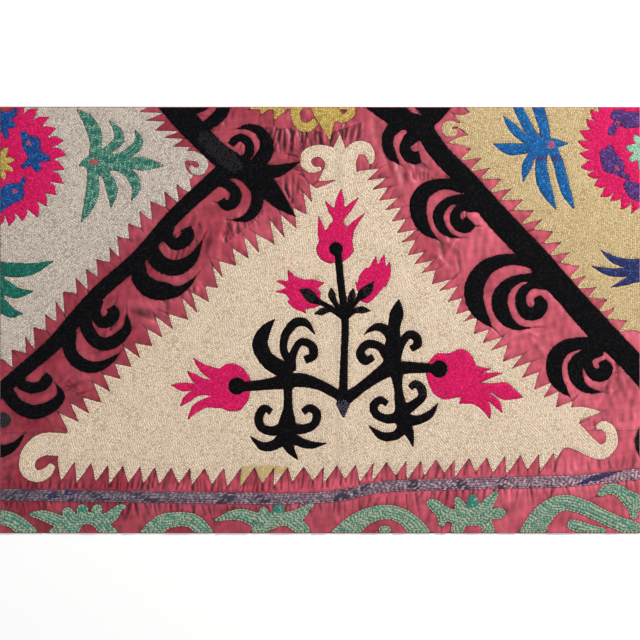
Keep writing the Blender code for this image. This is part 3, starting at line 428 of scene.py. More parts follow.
# %% Straight rows for the middle of a wide field
def straight_rows(grid, heading, least):
    """Slightly wavy rows side by side over the part of an area that lies deeper than least."""
    low, depth = grid
    high = low + CELL * np.array(depth.shape[::-1])
    middle = (low + high) / 2
    reach = np.linalg.norm(high - low) / 2
    c, s = math.cos(math.radians(heading)), math.sin(math.radians(heading))
    u = np.arange(-reach, reach, CELL)
    bend = 2.6 * MM * np.sin(u / (31 * MM)) + 1.3 * MM * np.sin(u / (11 * MM) + 1)
    bend = bend + 6 * MM * np.sin(u / (97 * MM))
    lines = []
    for n in range(-int(reach / ROW_PITCH), int(reach / ROW_PITCH) + 1):
        v = n * ROW_PITCH + bend
        x, y = middle[0] + u * c - v * s, middle[1] + u * s + v * c
        deep = depth_at(grid, x, y) > least
        starts = np.nonzero(np.diff(np.concatenate([[False], deep, [False]]).astype(int)))[0]
        for a, b in zip(starts[::2], starts[1::2]):
            if (b - a) * CELL > 0.8 * STITCH_LENGTH:
                line = np.stack([x[a:b], y[a:b]], 1)
                lines.append(line if n % 2 else line[::-1])
    return lines


# %% [markdown]
# ## The stitch
#
# A chain stitch is a small loop of thread that starts narrow where the needle comes up, opens out, and is
# held down by the next loop. Seven points are enough for it: the two ends, the two outer sides, the two
# raised strands and the hollow between them. Each stitch gets its own small turn, length and height, as a
# hand gives them, and its foot sinks into a bed of thread, so no light comes through between the rows.

# %% Stitches along a line
STITCH_POINTS = np.array([
    (-0.56, 0.0, 0.0), (0.12, 0.53, 0.0), (0.12, -0.53, 0.0), (0.50, 0.0, 0.25),
    (0.06, 0.27, 1.0), (0.06, -0.27, 1.0), (0.02, 0.0, 0.42)])
STITCH_FACES = np.array([
    (0, 4, 1), (1, 4, 3), (0, 6, 4), (4, 6, 3), (0, 5, 6), (6, 5, 3), (0, 2, 5), (5, 2, 3)])


def stitch_places(lines, length):
    """Where the stitches of some rows lie: middle x and y, heading and length."""
    found = []
    for line in lines:
        gone = np.concatenate([[0], np.cumsum(np.linalg.norm(np.diff(line, axis=0), axis=1))])
        total = gone[-1]
        if total < 0.5 * STITCH_LENGTH:
            continue
        count = max(1, round(total / length))
        pitch = total / count
        middle = (np.arange(count) + 0.5 + rng.uniform(-0.12, 0.12, count)) * pitch
        a = np.clip(middle - 0.45 * pitch, 0, total)
        b = np.clip(middle + 0.45 * pitch, 0, total)
        ax, ay = np.interp(a, gone, line[:, 0]), np.interp(a, gone, line[:, 1])
        bx, by = np.interp(b, gone, line[:, 0]), np.interp(b, gone, line[:, 1])
        heading = np.arctan2(by - ay, bx - ax)
        found.append(np.stack([(ax + bx) / 2, (ay + by) / 2, heading, np.full(count, pitch)], 1))
    return np.concatenate(found) if found else np.zeros((0, 4))


def stitch_mesh(places, base, width):
    """Points and faces of all stitches at some places, standing on the heights in base."""
    count = len(places)
    heading = places[:, 2] + rng.normal(0, 0.07, count)
    long = places[:, 3] * rng.uniform(0.98, 1.16, count)
    wide = width * rng.uniform(0.90, 1.12, count)
    tall = STITCH_RISE * rng.uniform(0.75, 1.2, count)
    u = STITCH_POINTS[None, :, 0] * long[:, None]
    v = STITCH_POINTS[None, :, 1] * wide[:, None]
    lean = rng.normal(0, 0.06, count)[:, None] * v
    c, s = np.cos(heading)[:, None], np.sin(heading)[:, None]
    x = places[:, 0, None] + u * c - v * s
    y = places[:, 1, None] + u * s + v * c
    z = base[:, None] + STITCH_POINTS[None, :, 2] * tall[:, None] + lean
    faces = STITCH_FACES[None] + 7 * np.arange(count)[:, None, None]
    return np.stack([x, y, z], 2).reshape(-1, 3), faces.reshape(-1, 3)


# %% [markdown]
# ## The bed under the stitches
#
# Many crossings of thread lie under the loops that show. The bed is a low cushion with the outline of the
# area, lower at its edge than inside, in the dark shade that one sees between stitches.


# %% Bed with the outline of the area
def within(points, loops):
    """Which points lie inside the outlines, with holes left out."""
    inside = np.zeros(len(points), bool)
    px, py = points[:, 0], points[:, 1]
    for loop in loops:
        for (ax, ay), (bx, by) in zip(loop, np.roll(loop, -1, 0)):
            if ay != by:
                rows = (ay > py) != (by > py)
                inside ^= rows & (px < ax + (py - ay) / (by - ay) * (bx - ax))
    return inside


def bed_mesh(loops, inner, lift):
    """A low cushion: its sides stand on the satin, and it rises from the outline to the inner lines."""
    points, edges = [], []
    for loop in loops:
        first = len(points)
        points += [Vector(p) for p in loop]
        edges += [(first + n, first + (n + 1) % len(loop)) for n in range(len(loop))]
    rim = len(points)
    for line in inner:
        points += [Vector(p) for p in line[:-1:6]]
    spots, _, faces, origin, _, _ = delaunay_2d_cdt(points, edges, [], 0, 1e-6, True)
    spots = np.array([tuple(p) for p in spots])
    faces = np.array([f for f in faces if len(f) == 3])
    faces = faces[within(spots[faces].mean(1), loops)]
    on_rim = np.array([any(n < rim for n in o) for o in origin])
    height = np.where(on_rim, BED_EDGE, BED_TOP) + lift
    top = np.column_stack([spots, height])
    open_edges = {}
    for a, b, c in faces.tolist():
        for pair in ((a, b), (b, c), (c, a)):
            if pair[::-1] in open_edges:
                del open_edges[pair[::-1]]
            else:
                open_edges[pair] = True
    below = {}
    sides = []
    for a, b in open_edges:
        for p in (a, b):
            below.setdefault(p, len(top) + len(below))
        sides += [(b, a, below[a]), (b, below[a], below[b])]
    feet = np.array([(*spots[p], SATIN_TOP - 0.05 * MM) for p in below])
    return np.concatenate([top, feet]), np.concatenate([faces, np.array(sides)])


# %% [markdown]
# ## Which thread fills which area
#
# Each entry names an area, its thread, the heading of its rows and how many rows follow its outline first.
# Slim leaves and stems have rows that follow the outline all the way in. The wide fields have two such rows
# and then long, almost straight ones. The stripe and the border have one.

# %% Filled areas
AREAS = {
    "field_triangle": ("cream", 24, 2), "field_grey": ("grey_white", 38, 2),
    "field_straw": ("straw", -32, 2),
    "gold_point": ("gold", 10, 3), "star_left": ("gold", 0, 5), "star_right": ("mint", 0, 5),
    "plant_teal": ("teal", 60, 5), "plant_blue": ("blue", 60, 5),
    "leaves_green": ("dark_green", 10, 5), "leaves_navy": ("navy", 10, 5), "stripe": ("lavender", 30, 1),
}
FAMILIES = [
    ("vine_", "black"), ("spray_", "black"), ("ball_", "black"), ("leaf_", "black"), ("rosette_", "pink"),
    ("tulip_", "pink"), ("bud_", "pink"), ("bird_left", "royal"), ("bird_right", "purple"),
    ("border_", "border_green")]
for node in sorted(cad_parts):
    for start, thread in FAMILIES:
        if node.startswith(start):
            AREAS[node] = (thread, 34, 1) if thread == "border_green" else (thread, 40, 5)
missing = [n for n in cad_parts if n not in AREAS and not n.startswith("satin")]
print(len(AREAS), "filled areas, none left out" if not missing else missing)

# %% Small parts in another thread
# Each row: area, grid column, row, half width, half height, turn in degrees, colour, and how many take it
PATCHES = [
    ("field_triangle", 264.5, 470, 25, 4.4, 0, "gold_patch", 0.92),
    ("field_triangle", 245, 479, 5.5, 8, 0, "gold_patch", 0.92),
    ("field_triangle", 259.5, 479, 6, 10, 0, "gold_patch", 0.92),
    ("spray_stems", 343, 409, 6, 9, 0, "purple_grey", 0.85),
    ("vine_left", 220, 152, 27, 9, -42, "charcoal", 0.9),
    ("spray_stems", 421, 387, 10, 9, 0, "charcoal", 0.6),
    ("ball_left_edge", 4, 418, 20, 20, 0, "ash", 1.0),
    ("border_flower_second", 278, 508, 7, 5, 0, "teal_petal", 0.85),
    ("border_flower_third", 472, 501, 7, 6, 0, "teal_petal", 0.85),
    ("border_flower_first", 83, 508, 5, 4, 0, "teal_petal", 0.5),
    ("leaf_right_edge", 634, 440, 20, 30, 0, "charcoal", 0.8),
    ("stripe", 601, 476, 25, 2.6, 19, "dark_purple", 0.95),
    ("stripe", 71, 501, 3, 6, 0, "dark_purple", 0.8),
    ("stripe", 62, 493, 24, 3.0, 12, "dark_purple", 0.45),
    ("stripe", 140, 496, 26, 2.4, -18, "dark_slate", 0.7),
    ("stripe", 98, 496, 14, 3.0, -25, "dark_slate", 0.6),
    ("stripe", 226, 499, 12, 5, 40, "dark_slate", 0.7),
    ("stripe", 262, 499, 10, 3, -30, "dark_slate", 0.5),
    ("stripe", 343, 494, 12, 6, 60, "dark_slate", 0.7),
    ("stripe", 362, 489, 10, 3, 30, "dark_slate", 0.5),
    ("stripe", 415, 484, 8, 5, 70, "dark_slate", 0.6),
    ("stripe", 462, 484, 10, 4, -30, "dark_slate", 0.5),
    ("stripe", 503, 482, 9, 4, 50, "dark_slate", 0.5),
    ("stripe", 20, 494, 14, 4, 20, "dark_slate", 0.5),
    ("plant_blue", 549.5, 159, 13, 3.0, 0, "plum", 0.9),
    ("spray_stems", 308, 294, 10, 8, 0, "charcoal", 0.7),
    ("spray_stems", 370, 289, 8, 8, 0, "charcoal", 0.8),
    ("spray_stems", 331, 292, 4, 6, 0, "charcoal", 0.6),
    ("spray_stems", 352.5, 294, 4, 7, 0, "charcoal", 0.6),
    ("spray_stems", 320, 313, 8, 5, 0, "charcoal", 0.6),
    ("spray_stems", 364, 311, 8, 5, 0, "charcoal", 0.6),
    ("plant_blue", 551, 145, 4.0, 4.0, 0, "eye", 1.0),
    ("plant_teal", 94, 162, 5, 2.6, 0, "eye", 1.0),
    ("bird_left_middle", 29, 143, 2.3, 2.3, 0, "eye", 1.0),
    ("bird_left_lower", 15.5, 191, 2.2, 2.2, 0, "eye", 1.0),
    ("bird_right_middle", 616.5, 168.5, 2.4, 2.4, 0, "eye", 1.0),
    ("bird_right_upper", 617, 122.5, 2.4, 2.4, 0, "eye", 1.0),
]


def dyed_and_shaded(node, thread, x, y, deep):
    """A colour for each stitch: drawn from the thread's list, with a slow drift, the small patches and
    painted shade along a join in the cream field.
    """
    count = len(x)
    shares = np.array([share for share, _ in THREADS[thread]])
    tints = np.array([linear(*tint) for _, tint in THREADS[thread]])
    slow = drift(x, y, 34 * MM, 3)
    pick = np.clip(rng.uniform(0, 1, count) + 0.08 * slow, 0, 0.9999)
    if thread in FLECKED:
        c, s = math.cos(math.radians(FLECKED[thread])), math.sin(math.radians(FLECKED[thread]))
        fleck = drift(0.3 * (x * c + y * s), y * c - x * s, 4.2 * MM, 17)
        if thread == "border_green":
            fleck = fleck + 0.45 * np.exp(-(((x / STEP - 60) / 190) ** 2))
        pick = np.clip(0.5 + 0.48 * fleck + 0.4 * (pick - 0.5), 0, 0.9999)
    colours = tints[np.searchsorted(np.cumsum(shares / shares.sum()), pick)]
    colours = colours * (1 + 0.06 * rng.normal(0, 1, count) + 0.03 * drift(x, y, 60 * MM, 8))[:, None]
    if thread == "border_green":
        rim = (deep < ROW_PITCH) & (rng.uniform(0, 1, count) < 0.85)
        colours[rim] = linear(*EXTRA["pale_edge"])
    if node == "stripe":
        # The stripe is paler to the right, and a little warmer
        share = x / (640 * STEP) + 0.5
        colours = colours * (0.75 + 0.75 * share)[:, None]
        colours[:, 0] *= 1 + 0.3 * share
    if node == "field_triangle":
        # Two darker lines down the cream field, at columns 337 and 341: painted shade along a join under the
        # stitching
        for column, most in ((337, 0.14), (341, 0.10)):
            colours = colours * (1 - most * np.exp(-((x / STEP + 320 - column) / 1.6) ** 2))[:, None]
    for area, px, py, half_x, half_y, turn, tint, share in PATCHES:
        if area != node:
            continue
        cx, cy = at(px, py)
        c, s = math.cos(math.radians(turn)), math.sin(math.radians(turn))
        dx, dy = (x - cx) / STEP, (y - cy) / STEP
        a, b = (dx * c + dy * s) / half_x, (dy * c - dx * s) / half_y
        hit = (np.abs(a) ** 3 + np.abs(b) ** 3 < 1) & (rng.uniform(0, 1, count) < share)
        colours[hit] = linear(*EXTRA[tint]) * (1 + 0.10 * rng.normal(0, 1, hit.sum()))[:, None]
    return np.clip(colours, 0.002, 0.95)


# %% [markdown]
# ## Filling the areas
#
# Now each area is filled. First come the rows that follow its outline, then, in a wide field, the straight
# ones. The outermost stitches lie a little lower, which rounds the edge of the area.

# %% Stitch every area
# Motifs lie a little higher than the three wide fields
FIELDS = ("field_triangle", "field_grey", "field_straw")
MOTIF_LIFT = 0.18 * MM
BED_SHADE = 0.5
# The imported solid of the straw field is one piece, so it leaves out the part that two blue leaves cut off.
# That part is added here, and so is the slit that makes a curl of the field's round end.
SLIVERS = {"field_straw": [
    [(522, 107.4), (531.5, 107.4), (535.3, 118), (540, 133), (537, 134), (528.3, 118)],
    [(451.2, 128.0), (454.5, 126.6), (458.4, 127.4), (457.2, 129.6), (454.5, 129.2), (452.2, 130.2)]]}
outlines, grids, pieces, total = {}, {}, {}, 0
for node, (thread, heading, rims) in AREAS.items():
    loops = [softened(loop) for loop in outlines_of(node)]
    for sliver in SLIVERS.get(node, []):
        loops.append(softened(np.column_stack(at(*np.transpose(sliver)))))
    grid = depth_grid(loops)
    outlines[node], grids[node] = loops, grid
    deepest = grid[1].max()
    lines, inner = [], []
    for n in range(rims):
        level = (n + 0.5) * ROW_PITCH
        if level > min(deepest, REACH - 0.1 * MM):
            break
        found = level_lines(grid, level)
        lines += found
        if n == 1:
            inner = found
    if deepest > rims * ROW_PITCH:
        lines += straight_rows(grid, heading, (rims + 0.1) * ROW_PITCH)
    places = stitch_places(lines, LONG_STITCHES.get(thread, STITCH_LENGTH))
    lift = 0.0 if node in FIELDS else MOTIF_LIFT
    deep = depth_at(grid, places[:, 0], places[:, 1])
    shown = dyed_and_shaded(node, thread, places[:, 0], places[:, 1], deep)
    base = BED_EDGE + (BED_TOP - BED_EDGE) * np.clip(deep / (1.5 * ROW_PITCH), 0, 1) + lift - 0.08 * MM
    points, faces = stitch_mesh(places, base, ROW_PITCH * 1.04)
    colours = np.repeat(shown, 7, axis=0)
    # Painted shade and highlight on each stitch: its two ends and the hollow between the strands darker, by a
    # random amount more, and the raised strands lighter
    painted_stitch_shade = np.tile(np.array([0.76, 0.90, 0.90, 0.76, 1.10, 1.10, 0.80]), (len(places), 1))
    painted_stitch_shade[:, [0, 3, 6]] *= rng.uniform(0.5, 1.12, (len(places), 3))
    painted_stitch_shade = painted_stitch_shade.ravel()
    bed_points, bed_faces = bed_mesh(loops, inner, lift)
    bed_colours = np.tile(linear(*THREADS[thread][0][1]) * BED_SHADE, (len(bed_points), 1))
    all_points = np.concatenate([bed_points, points])
    all_faces = np.concatenate([bed_faces, faces + len(bed_points)])
    all_colours = np.concatenate([bed_colours, colours * painted_stitch_shade[:, None]])
    piece = mesh_object("stitched_" + node, all_points, all_faces, all_colours)
    piece.data.materials.append(thread_shaders[thread])
    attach(piece, "root")
    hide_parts(node)
    pieces[node] = piece
    total += len(piece.data.polygons)
    if len(places) > 1500:
        print(node, len(places), "stitches", len(piece.data.polygons), "triangles")
print(len(pieces), "stitched areas with", total, "triangles")

# %% [markdown]
# ## The satin
#
# The ground is a thin glossy satin. Dense stitching shrinks it, so the bare parts between the motifs stand
# up in folds, and short gathers run out from every stitched edge. The long folds and the main creases are
# placed from tables, and a short crease runs out of each sharp corner. The gathers come from the
# outlines: each bare spot takes its height from a wave that runs along the nearest stitched edge, and it
# fades with distance.

# %% Folds placed one by one
# Each row: grid column, row, length, heading in degrees, width and height in mm
FOLDS = [
    (232, 232, 44, 118, 13, 2.2), (214, 243, 38, 122, 11, 1.8), (208, 226, 30, 128, 10, 1.5),
    (152, 312, 26, 60, 9, 1.8), (76, 388, 30, 40, 10, 2), (42, 430, 30, 12, 9, 1.2),
    (120, 338, 30, 140, 10, 1.6), (28, 334, 26, 135, 9, 1.3), (150, 232, 22, 140, 9, 1.2),
    (414, 186, 36, 60, 11, 2), (398, 180, 30, 74, 9, 1.6), (441, 262, 34, 44, 11, 1.8),
    (452, 246, 34, 46, 10, 1.6), (505, 222, 26, 62, 9, 1.4), (536, 345, 32, 52, 10, 1.7),
    (530, 332, 26, 38, 9, 1.5), (624, 388, 32, 66, 11, 2.2), (610, 396, 30, 74, 10, 1.8),
    (632, 412, 24, 80, 9, 1.6), (592, 286, 20, 40, 8, 1), (286, 140, 24, 84, 9, 1.8),
    (277, 148, 26, 80, 8, 1.4), (297, 140, 18, 96, 8, 1.4), (360, 128, 24, 88, 9, 1.8),
    (370, 138, 20, 100, 8, 1.4), (392, 202, 26, 64, 9, 1.4), (250, 226, 26, 134, 9, 1.2),
    (10, 474, 26, 78, 9, 1.4), (630, 462, 20, 86, 9, 1.2),
]


def fold_height(x, y):
    """Height of the long folds, in metres, at points in metres."""
    gx, gy = x / STEP + 320, 320 - y / STEP
    most = np.zeros(len(x))
    for fx, fy, length, heading, width, height in FOLDS:
        c, s = math.cos(math.radians(heading)), math.sin(math.radians(heading))
        dx, dy = gx - fx, gy - fy
        a = (dx * c + dy * s) / (length / 2)
        b = (dy * c - dx * s) / (width / 2)
        on = (np.abs(a) < 1) & (np.abs(b) < 1)
        rise = height * MM * (1 - a**2) * (0.5 + 0.5 * np.cos(np.pi * np.clip(b, -1, 1)))
        most = np.where(on, np.maximum(most, rise), most)
    return most


# %% Edges that gather the satin
edge_points, edge_phase = [], []
for node, loops in outlines.items():
    for loop in loops:
        steps = len(loop)
        half = min(9, steps // 4)
        calm = sum(np.roll(loop, k, 0) for k in range(-half, half + 1)) / (2 * half + 1)
        along = np.linalg.norm(np.diff(calm, axis=0, append=calm[:1]), axis=1)
        edge_points.append(loop)
        edge_phase.append(np.cumsum(along) + 0.137 * len(edge_points))
edge_points, edge_phase = np.concatenate(edge_points), np.concatenate(edge_phase)
tree = KDTree(len(edge_points))
for n, (x, y) in enumerate(edge_points):
    tree.insert((x, y, 0), n)
tree.balance()
print(len(edge_points), "points on stitched edges")

# %% Main creases, placed one by one
# Each row: grid column, row, length, heading in degrees, width, and depth. A depth of 1 is a deep trough,
# and one below 0 is a ridge.
CREASES = [
    (140, 312, 46, -12, 9, 0.6), (150, 322, 30, -20, 5, -0.4), (126, 330, 34, 20, 7, 0.45),
    (72, 387, 30, 18, 4, 0.7), (84, 392, 22, 24, 3, 0.6), (68, 378, 22, 40, 4, -0.5),
    (42, 394, 24, 20, 7, 0.6), (75, 411, 20, -62, 4, 0.55), (98, 392, 12, -60, 2, 0.7),
    (28, 424, 30, 5, 8, 0.35), (6, 450, 30, 80, 6, 0.45), (10, 474, 26, 76, 6, 0.5),
    (209, 240, 34, 75, 6, 0.75), (219, 238, 60, 86, 6, -0.75), (228, 226, 36, 80, 4, 0.5),
    (236, 222, 30, 72, 4, -0.45), (192, 222, 26, 70, 5, 0.45), (199, 236, 30, 80, 5, -0.35),
    (246, 216, 22, 80, 3, 0.6), (254, 222, 24, 110, 3, -0.5), (286, 140, 28, 72, 5, 0.75),
    (278, 138, 26, 78, 4, -0.55), (302, 142, 24, 78, 4, 0.8), (309, 136, 22, 84, 4, -0.5),
    (320, 136, 20, 84, 3, 0.85), (328, 132, 20, 80, 3, 0.7), (334, 130, 22, 84, 3, -0.5),
    (346, 128, 28, 84, 3, 0.85), (357, 138, 20, 70, 3, 0.7), (352, 132, 24, 84, 4, -0.45),
    (368, 126, 34, 84, 8, -0.7), (380, 136, 30, 80, 7, 0.4), (298, 186, 18, 80, 3, 0.8),
    (292, 178, 16, 100, 3, 0.6), (290, 204, 14, 60, 3, 0.6), (281, 200, 16, 70, 3, 0.5),
    (212, 126, 34, 76, 5, 0.6), (222, 122, 26, 80, 4, -0.5), (232, 114, 18, 76, 4, 0.5),
    (404, 172, 26, 98, 7, 0.65), (394, 170, 26, 96, 5, -0.5), (412, 166, 20, 100, 4, -0.35),
    (420, 166, 26, 160, 5, 0.45), (386, 158, 34, 100, 6, 0.35), (441, 244, 36, 108, 7, 0.55),
    (452, 246, 34, 62, 5, -0.55), (458, 262, 30, 100, 4, 0.45), (470, 244, 32, 80, 7, -0.35),
    (484, 240, 30, 70, 6, 0.3), (466, 288, 26, 80, 5, -0.45), (428, 262, 24, 40, 5, 0.3),
    (414, 252, 16, 60, 3, 0.5), (526, 330, 36, 30, 6, -0.45), (512, 336, 24, 60, 5, -0.5),
    (540, 344, 34, 50, 8, 0.35), (552, 326, 30, 20, 6, 0.25), (618, 368, 34, 80, 6, 0.75),
    (607, 386, 16, 70, 4, 0.85), (624, 388, 32, 66, 6, -0.5), (612, 392, 22, 50, 4, -0.4),
    (632, 400, 26, 80, 6, 0.4), (600, 400, 26, 60, 5, -0.35), (588, 288, 30, 40, 5, 0.25),
    (568, 262, 26, 40, 4, 0.25), (165, 268, 20, 78, 3, -0.5), (172, 270, 20, 84, 3, 0.5),
    (180, 268, 18, 84, 3, -0.5), (188, 262, 20, 92, 3, 0.4), (198, 290, 24, 60, 5, -0.45),
    (150, 270, 22, 60, 4, 0.4), (110, 300, 26, 50, 6, 0.3), (100, 352, 30, 8, 5, 0.35),
    (22, 508, 20, 96, 5, 0.5), (50, 510, 16, 80, 5, -0.4), (145, 516, 30, 84, 6, 0.35),
    (222, 524, 20, 60, 8, -0.4), (330, 514, 34, 84, 7, 0.4), (345, 522, 30, 70, 8, -0.4),
    (430, 512, 24, 70, 6, 0.4), (508, 500, 30, 84, 8, -0.4), (570, 470, 26, 84, 8, -0.35),
    (600, 452, 22, 80, 5, 0.3), (548, 498, 16, 100, 4, 0.6), (632, 462, 26, 86, 5, 0.45),
]

# Creases that the stitching draws in along a line. Each row: from column, row, to column, row, how many,
# length, heading, width, depth
DRAWN_IN = [
    (2, 489, 108, 489, 20, 13, 88, 1.9, 0.75), (108, 489, 240, 493, 26, 22, 84, 1.9, 0.95),
    (240, 493, 330, 488, 18, 22, 86, 1.9, 0.95), (330, 488, 420, 479, 17, 22, 82, 1.9, 0.85),
    (420, 479, 560, 473, 24, 20, 84, 1.9, 0.75), (560, 473, 638, 467, 12, 16, 92, 2.2, 0.5),
    (2, 501, 110, 501, 17, 13, -86, 1.9, 0.8), (110, 501, 240, 506, 22, 16, -82, 1.9, 0.95),
    (240, 506, 330, 503, 15, 12, -88, 1.9, 0.9), (330, 503, 420, 492, 15, 18, -98, 2, 0.9),
    (420, 492, 560, 484, 22, 15, -94, 1.9, 0.9), (560, 484, 638, 479, 9, 14, -84, 2, 0.7),
    (264, 126, 322, 131, 18, 24, -84, 2.6, 1.3), (332, 132, 362, 122, 12, 20, -98, 2.5, 1.3),
    (296, 150, 306, 180, 8, 12, 160, 2, 0.9), (284, 190, 300, 216, 9, 16, 100, 2.2, 1),
    (412, 180, 448, 184, 10, 10, 92, 1.8, 1), (150, 243, 200, 222, 12, 20, -70, 2.8, 0.7),
    (226, 244, 262, 216, 12, 18, 100, 2.3, 0.9), (372, 166, 400, 228, 9, 12, 60, 2.2, 0.6),
    (160, 276, 196, 250, 11, 13, 80, 2.2, 0.8), (100, 340, 126, 318, 8, 11, 70, 2.2, 0.7),
    (196, 128, 212, 112, 6, 14, -80, 2.4, 0.7), (160, 300, 200, 284, 8, 12, -80, 2.4, 0.6),
    (60, 384, 118, 352, 10, 12, -60, 2.4, 0.5), (14, 396, 50, 418, 8, 12, -70, 2.6, 0.5),
    (2, 446, 2, 480, 4, 24, 10, 4, 0.4), (575, 430, 636, 420, 8, 12, 90, 2.4, 0.4),
]


# %% All creases as one list
PLACED_WIDTH, PLACED_DEPTH = 0.42, 1.35
DRAWN_WIDTH = 0.52


def crease_rows():
    """Start, length, heading, width, depth, fade and bend of every crease, in metres and radians."""
    rows = []
    for column, row, long, heading, width, depth in CREASES:
        x, y = at(column, row)
        turn = math.radians(heading)
        long, wide = long * STEP, width * STEP * PLACED_WIDTH
        x, y = x - long / 2 * math.cos(turn), y - long / 2 * math.sin(turn)
        rows.append((x, y, long, turn, wide, depth * PLACED_DEPTH, 0.45, rng.uniform(-0.15, 0.15)))
    for x0, y0, x1, y1, count, mean, heading, width, depth in DRAWN_IN:
        share = (np.arange(count) + 0.5 + rng.uniform(-0.38, 0.38, count)) / count
        for t in share:
            x, y = at(x0 + (x1 - x0) * t, y0 + (y1 - y0) * t)
            turn = math.radians(heading + rng.normal(0, 8))
            long = mean * STEP * rng.uniform(0.6, 1.5)
            wide = width * STEP * DRAWN_WIDTH * rng.uniform(0.7, 1.5)
            deep = depth * rng.uniform(0.4, 1.25)
            rows.append((x, y, long, turn, wide, deep, 0.06, rng.uniform(-0.15, 0.15)))
    for node, loops in outlines.items():
        for loop in [] if node == "stripe" else loops:
            rows += corner_creases(loop, grids[node])
    return rows


def corner_creases(loop, grid):
    """A short crease out of each sharp corner of an outline, where a stitched tip pulls at the satin."""
    before, after = loop - np.roll(loop, 3, 0), np.roll(loop, -3, 0) - loop
    before = before / np.linalg.norm(before, axis=1)[:, None]
    after = after / np.linalg.norm(after, axis=1)[:, None]
    cosine = (before * after).sum(1)
    rows = []
    for n in np.nonzero((cosine < 0.1) & (cosine <= np.roll(cosine, 1)) & (cosine < np.roll(cosine, -1)))[0]:
        way = before[n] - after[n]
        way = way / max(np.linalg.norm(way), 1e-9)
        probe = loop[n][:, None] + 3 * MM * np.stack([way, -way], 1)
        depth = depth_at(grid, probe[0], probe[1])
        if depth[1] < depth[0]:
            way = -way
        x, y = loop[n] - way * 1.0 * MM
        rows.append((x, y, rng.uniform(8, 22) * MM, math.atan2(way[1], way[0]) + rng.normal(0, 0.16),
                     rng.uniform(1.0, 1.6) * MM, rng.uniform(0.25, 1.0), 0.08, rng.uniform(-0.1, 0.1)))
    return rows


creases = crease_rows()
print(len(creases), "creases")


def crease_fields(x, y):
    """How far the creases sink or lift the satin, and how much painted shade they give its troughs and
    painted highlight its shoulders, at points in metres.
    """
    sink, dark = np.zeros(len(x)), np.zeros(len(x))
    for sx, sy, long, turn, wide, depth, soft, bend in creases:
        n = np.nonzero((np.abs(x - sx) < long + 3 * wide) & (np.abs(y - sy) < long + 3 * wide))[0]
        if len(n) == 0:
            continue
        c, s = math.cos(turn), math.sin(turn)
        a = ((x[n] - sx) * c + (y[n] - sy) * s) / long
        b = ((y[n] - sy) * c - (x[n] - sx) * s) / wide - bend * long / wide * np.clip(a, 0, 1) ** 2
        fade = np.clip(a / soft, 0, 1) * np.clip((1 - a) / 0.8, 0, 1) ** 0.8
        trough = np.exp(-(b**2))
        shoulders = np.exp(-(((np.abs(b) - 2.1) / 0.9) ** 2))
        tall = min(2.6 * MM, 1.2 * wide)
        sink[n] -= depth * tall * fade * (trough - 0.45 * shoulders)
        # Painted shade in the trough and a little painted highlight on the shoulders
        dark[n] += depth * fade * (trough - 0.25 * shoulders) * (1.0 if wide < 2.2 * MM else 0.9)
    return np.clip(sink, -1.4 * MM, 2.6 * MM), np.clip(dark, -1.0, 1.0)


# %% Fine gathers along the stitched edges
# Each row: grid column, row, half width, half height, and how strong the gathers are there
GATHERS = [
    (320, 480, 340, 16, 1), (320, 510, 340, 9, 0.9), (310, 132, 60, 30, 0.9), (226, 236, 36, 40, 0.6),
    (608, 384, 40, 34, 0.6), (412, 178, 34, 26, 0.7),
]


def gather_wave(x, y, near, phase):
    """Fine gathers, from about -1 to 1, that run out from the stitched edges and fade with distance."""
    strength = np.full(len(x), 0.40)
    gx, gy = x / STEP + 320, 320 - y / STEP
    for cx, cy, half_x, half_y, most in GATHERS:
        share = 1 - np.clip(np.hypot((gx - cx) / half_x, (gy - cy) / half_y), 0, 1) ** 4
        strength = np.maximum(strength, most * share)
    wave = np.sin(phase / (1.5 * MM)) + 0.9 * np.sin(phase / (0.95 * MM) + 1.7)
    wave = wave + 0.7 * np.sin(phase / (2.7 * MM))
    patchy = 0.55 + 0.45 * drift(x, y, 30 * MM, 21)
    fade = np.exp(-near / (8 * MM)) * np.clip(near / (1.0 * MM), 0, 1)
    return 0.42 * strength * patchy * fade * wave


# %% [markdown]
# A panel of satin is a sheet with fine triangles where it is bare and large ones under the stitches. Its
# underside is a plainer copy of the same form a little lower, and the two are joined round the rim.


# %% A panel of satin
def satin_height(x, y):
    """Top of the satin, how far it is from the nearest stitched edge, and its painted shade: dark in the
    creases and where the gathers and streaks sink, below 0 a painted highlight where they rise.
    """
    deep = np.max([depth_at(grid, x, y) for grid in grids.values()], axis=0)
    bare = deep < 0
    near, phase = np.zeros(len(x)), np.zeros(len(x))
    for n in np.nonzero(bare)[0]:
        _, index, away = tree.find((x[n], y[n], 0))
        near[n], phase[n] = away, edge_phase[index]
    height = np.full(len(x), SATIN_TOP)
    free = np.clip((near - 1.0 * MM) / (7 * MM), 0, 1)
    sink, dark = crease_fields(x, y)
    wave = gather_wave(x, y, near, phase)
    raised = fold_height(x, y) * free + (sink + 1.0 * MM * wave) * np.clip(near / (1.4 * MM), 0.1, 1)
    puff = 0.9 * MM * np.clip(near / (6 * MM), 0, 1) ** 0.6
    streak = drift(x, 0.28 * y, 7 * MM, 12)
    uneven = 0.07 * drift(x, y, 11 * MM, 5) + 0.22 * streak * np.clip(near / (5 * MM), 0, 1)
    raised = raised + puff + uneven * MM
    height = np.where(bare, np.maximum(SATIN_TOP + raised, SATIN_THICK + 0.05 * MM), height - 0.02 * MM)
    # The painted shade follows the relief: darker in the creases and where the gathers and streaks sink,
    # lighter where they rise
    return height, np.where(bare, near, -1.0), np.where(bare, dark - 0.8 * wave - 0.12 * streak, 0)


